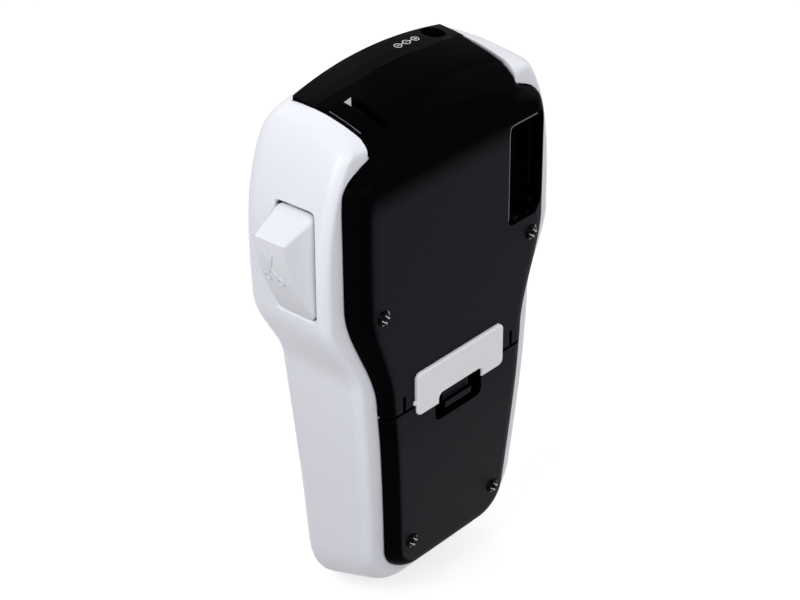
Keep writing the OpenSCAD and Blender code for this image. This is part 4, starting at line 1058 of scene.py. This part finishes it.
def make_side_key(name, x):
    return front_stack(name, lambda g: rounded(SIDE_KEY_W + 2 * g, SIDE_KEY_H + 2 * g, 2.6 + g, 6),
                       [(0, 3.2)] + soft_top(KEY_PROUD, 0.8)[1:], x, NAV_Z)


def make_front():
    make_keypad()
    make_signs()
    make_key_signs()
    make_display()
    dress(soften(make_ring(), 40), "arrow_ring", "key_grey", "nav_ring")
    dress(soften(make_centre(), 40), "centre_key", "key_dark", "ok_key")
    power = make_side_key("power_button_top", -SIDE_KEY_X)
    dress(soften(power, 40), "power_button", "key_dark", "power_key")
    button = make_side_key("print_button_top", SIDE_KEY_X)
    dress(soften(button, 40), "print_button", "key_blue", "print_key")


# Solids that keep their shape

def paint_solids():
    """Materials for the solids that stay as they are."""
    for part in frame["record"]["subparts"]:
        node = frame["nodes"][part["node"]]
        if node.hide_render:
            continue
        node.data.materials.clear()
        node.data.materials.append(MATERIALS[part["material_slot"]])


# Stage

def make_camera():
    """Camera solved from the photograph."""
    flat = math.cos(CAM_EL)
    forward = -np.array((math.sin(CAM_AZ) * flat, -math.cos(CAM_AZ) * flat, math.sin(CAM_EL)))
    right = np.cross(forward, (0, 0, 1))
    right = right / np.linalg.norm(right)
    down = np.cross(forward, right)
    c, s = math.cos(CAM_ROLL), math.sin(CAM_ROLL)
    rows = np.array((c * right + s * down, -s * right + c * down, forward))
    place = -rows.T @ CAM_SHIFT + CAM_ORIGIN
    camera = bpy.data.cameras.new("camera")
    camera.sensor_width = 36.0
    camera.lens = FOCAL_PX * camera.sensor_width / IMAGE_W
    camera.clip_start = 0.01
    camera.clip_end = 50.0
    obj = bpy.data.objects.new("camera", camera)
    m = Matrix.Identity(4)
    for i in range(3):
        m[i][0], m[i][1], m[i][2], m[i][3] = rows[0][i], -rows[1][i], -rows[2][i], place[i] * MM
    obj.matrix_world = m
    bpy.context.scene.collection.objects.link(obj)
    bpy.context.scene.camera = obj


def lamp(name, place, aim, size, power):
    """Area lamp at a place, turned to its aim."""
    light = bpy.data.lights.new(name, "AREA")
    light.shape = "RECTANGLE"
    light.size, light.size_y = size
    light.energy = power
    obj = bpy.data.objects.new(name, light)
    obj.location = place
    obj.rotation_euler = (Vector(aim) - Vector(place)).to_track_quat("-Z", "Y").to_euler()
    bpy.context.scene.collection.objects.link(obj)


def seen_rays(nodes, links):
    """1 for the rays that show the background itself, as seen, mirrored or through glass."""
    path = nodes.new("ShaderNodeLightPath")
    seen = nodes.new("ShaderNodeMath")
    seen.operation = "MAXIMUM"
    links.new(path.outputs["Is Camera Ray"], seen.inputs[0])
    also = nodes.new("ShaderNodeMath")
    also.operation = "MAXIMUM"
    links.new(path.outputs["Is Glossy Ray"], also.inputs[0])
    links.new(path.outputs["Is Transmission Ray"], also.inputs[1])
    links.new(also.outputs["Value"], seen.inputs[1])
    return seen.outputs["Value"]


def floor_white():
    """White floor: as seen it is lit to white and keeps the shadow, as a reflector it is duller."""
    mat, nodes, links, shader = tree("floor_white")
    cloud = noise(nodes, links, 6.0)
    seen = seen_rays(nodes, links)
    mix = nodes.new("ShaderNodeMix")
    mix.data_type = "RGBA"
    links.new(seen, mix.inputs["Factor"])
    links.new(tint(nodes, links, cloud, (0.42, 0.42, 0.43), 0.01), mix.inputs["A"])
    links.new(tint(nodes, links, cloud, (0.46, 0.46, 0.46), 0.004), mix.inputs["B"])
    links.new(mix.outputs["Result"], shader.inputs["Base Color"])
    links.new(spread(nodes, links, seen, 0.0, FLOOR_GLOW, 0.0, 1.0), shader.inputs["Emission Strength"])
    shader.inputs["Emission Color"].default_value = (1, 1, 1, 1)
    shader.inputs["Roughness"].default_value = 0.9
    shader.inputs["Specular IOR Level"].default_value = 0.0
    return mat


def make_stage():
    """Floor, world and lamps."""
    floor_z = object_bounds()[0][2] - 0.0005
    corners = [(x * FLOOR_REACH / MM, y * FLOOR_REACH / MM, floor_z / MM)
               for x, y in ((-1, -1), (1, -1), (1, 1), (-1, 1))]
    floor = mesh_object("floor", corners, [(0, 1, 2, 3)])
    floor.data.materials.append(floor_white())
    world = bpy.data.worlds.new("world")
    world.use_nodes = True
    nodes, links = world.node_tree.nodes, world.node_tree.links
    nodes["Background"].inputs["Color"].default_value = (1.0, 1.0, 1.0, 1)
    strength = spread(nodes, links, seen_rays(nodes, links), WORLD_LIGHT, 1.0, 0.0, 1.0)
    links.new(strength, nodes["Background"].inputs["Strength"])
    bpy.context.scene.world = world
    for settings in LAMPS:
        lamp(*settings)
    bpy.context.scene.view_settings.view_transform = "Standard"


make_camera()
make_shell()
make_covers()
make_tab()
make_top_signs()
make_painted_highlights()
make_liner()
make_lever()
make_front()
paint_solids()
make_stage()
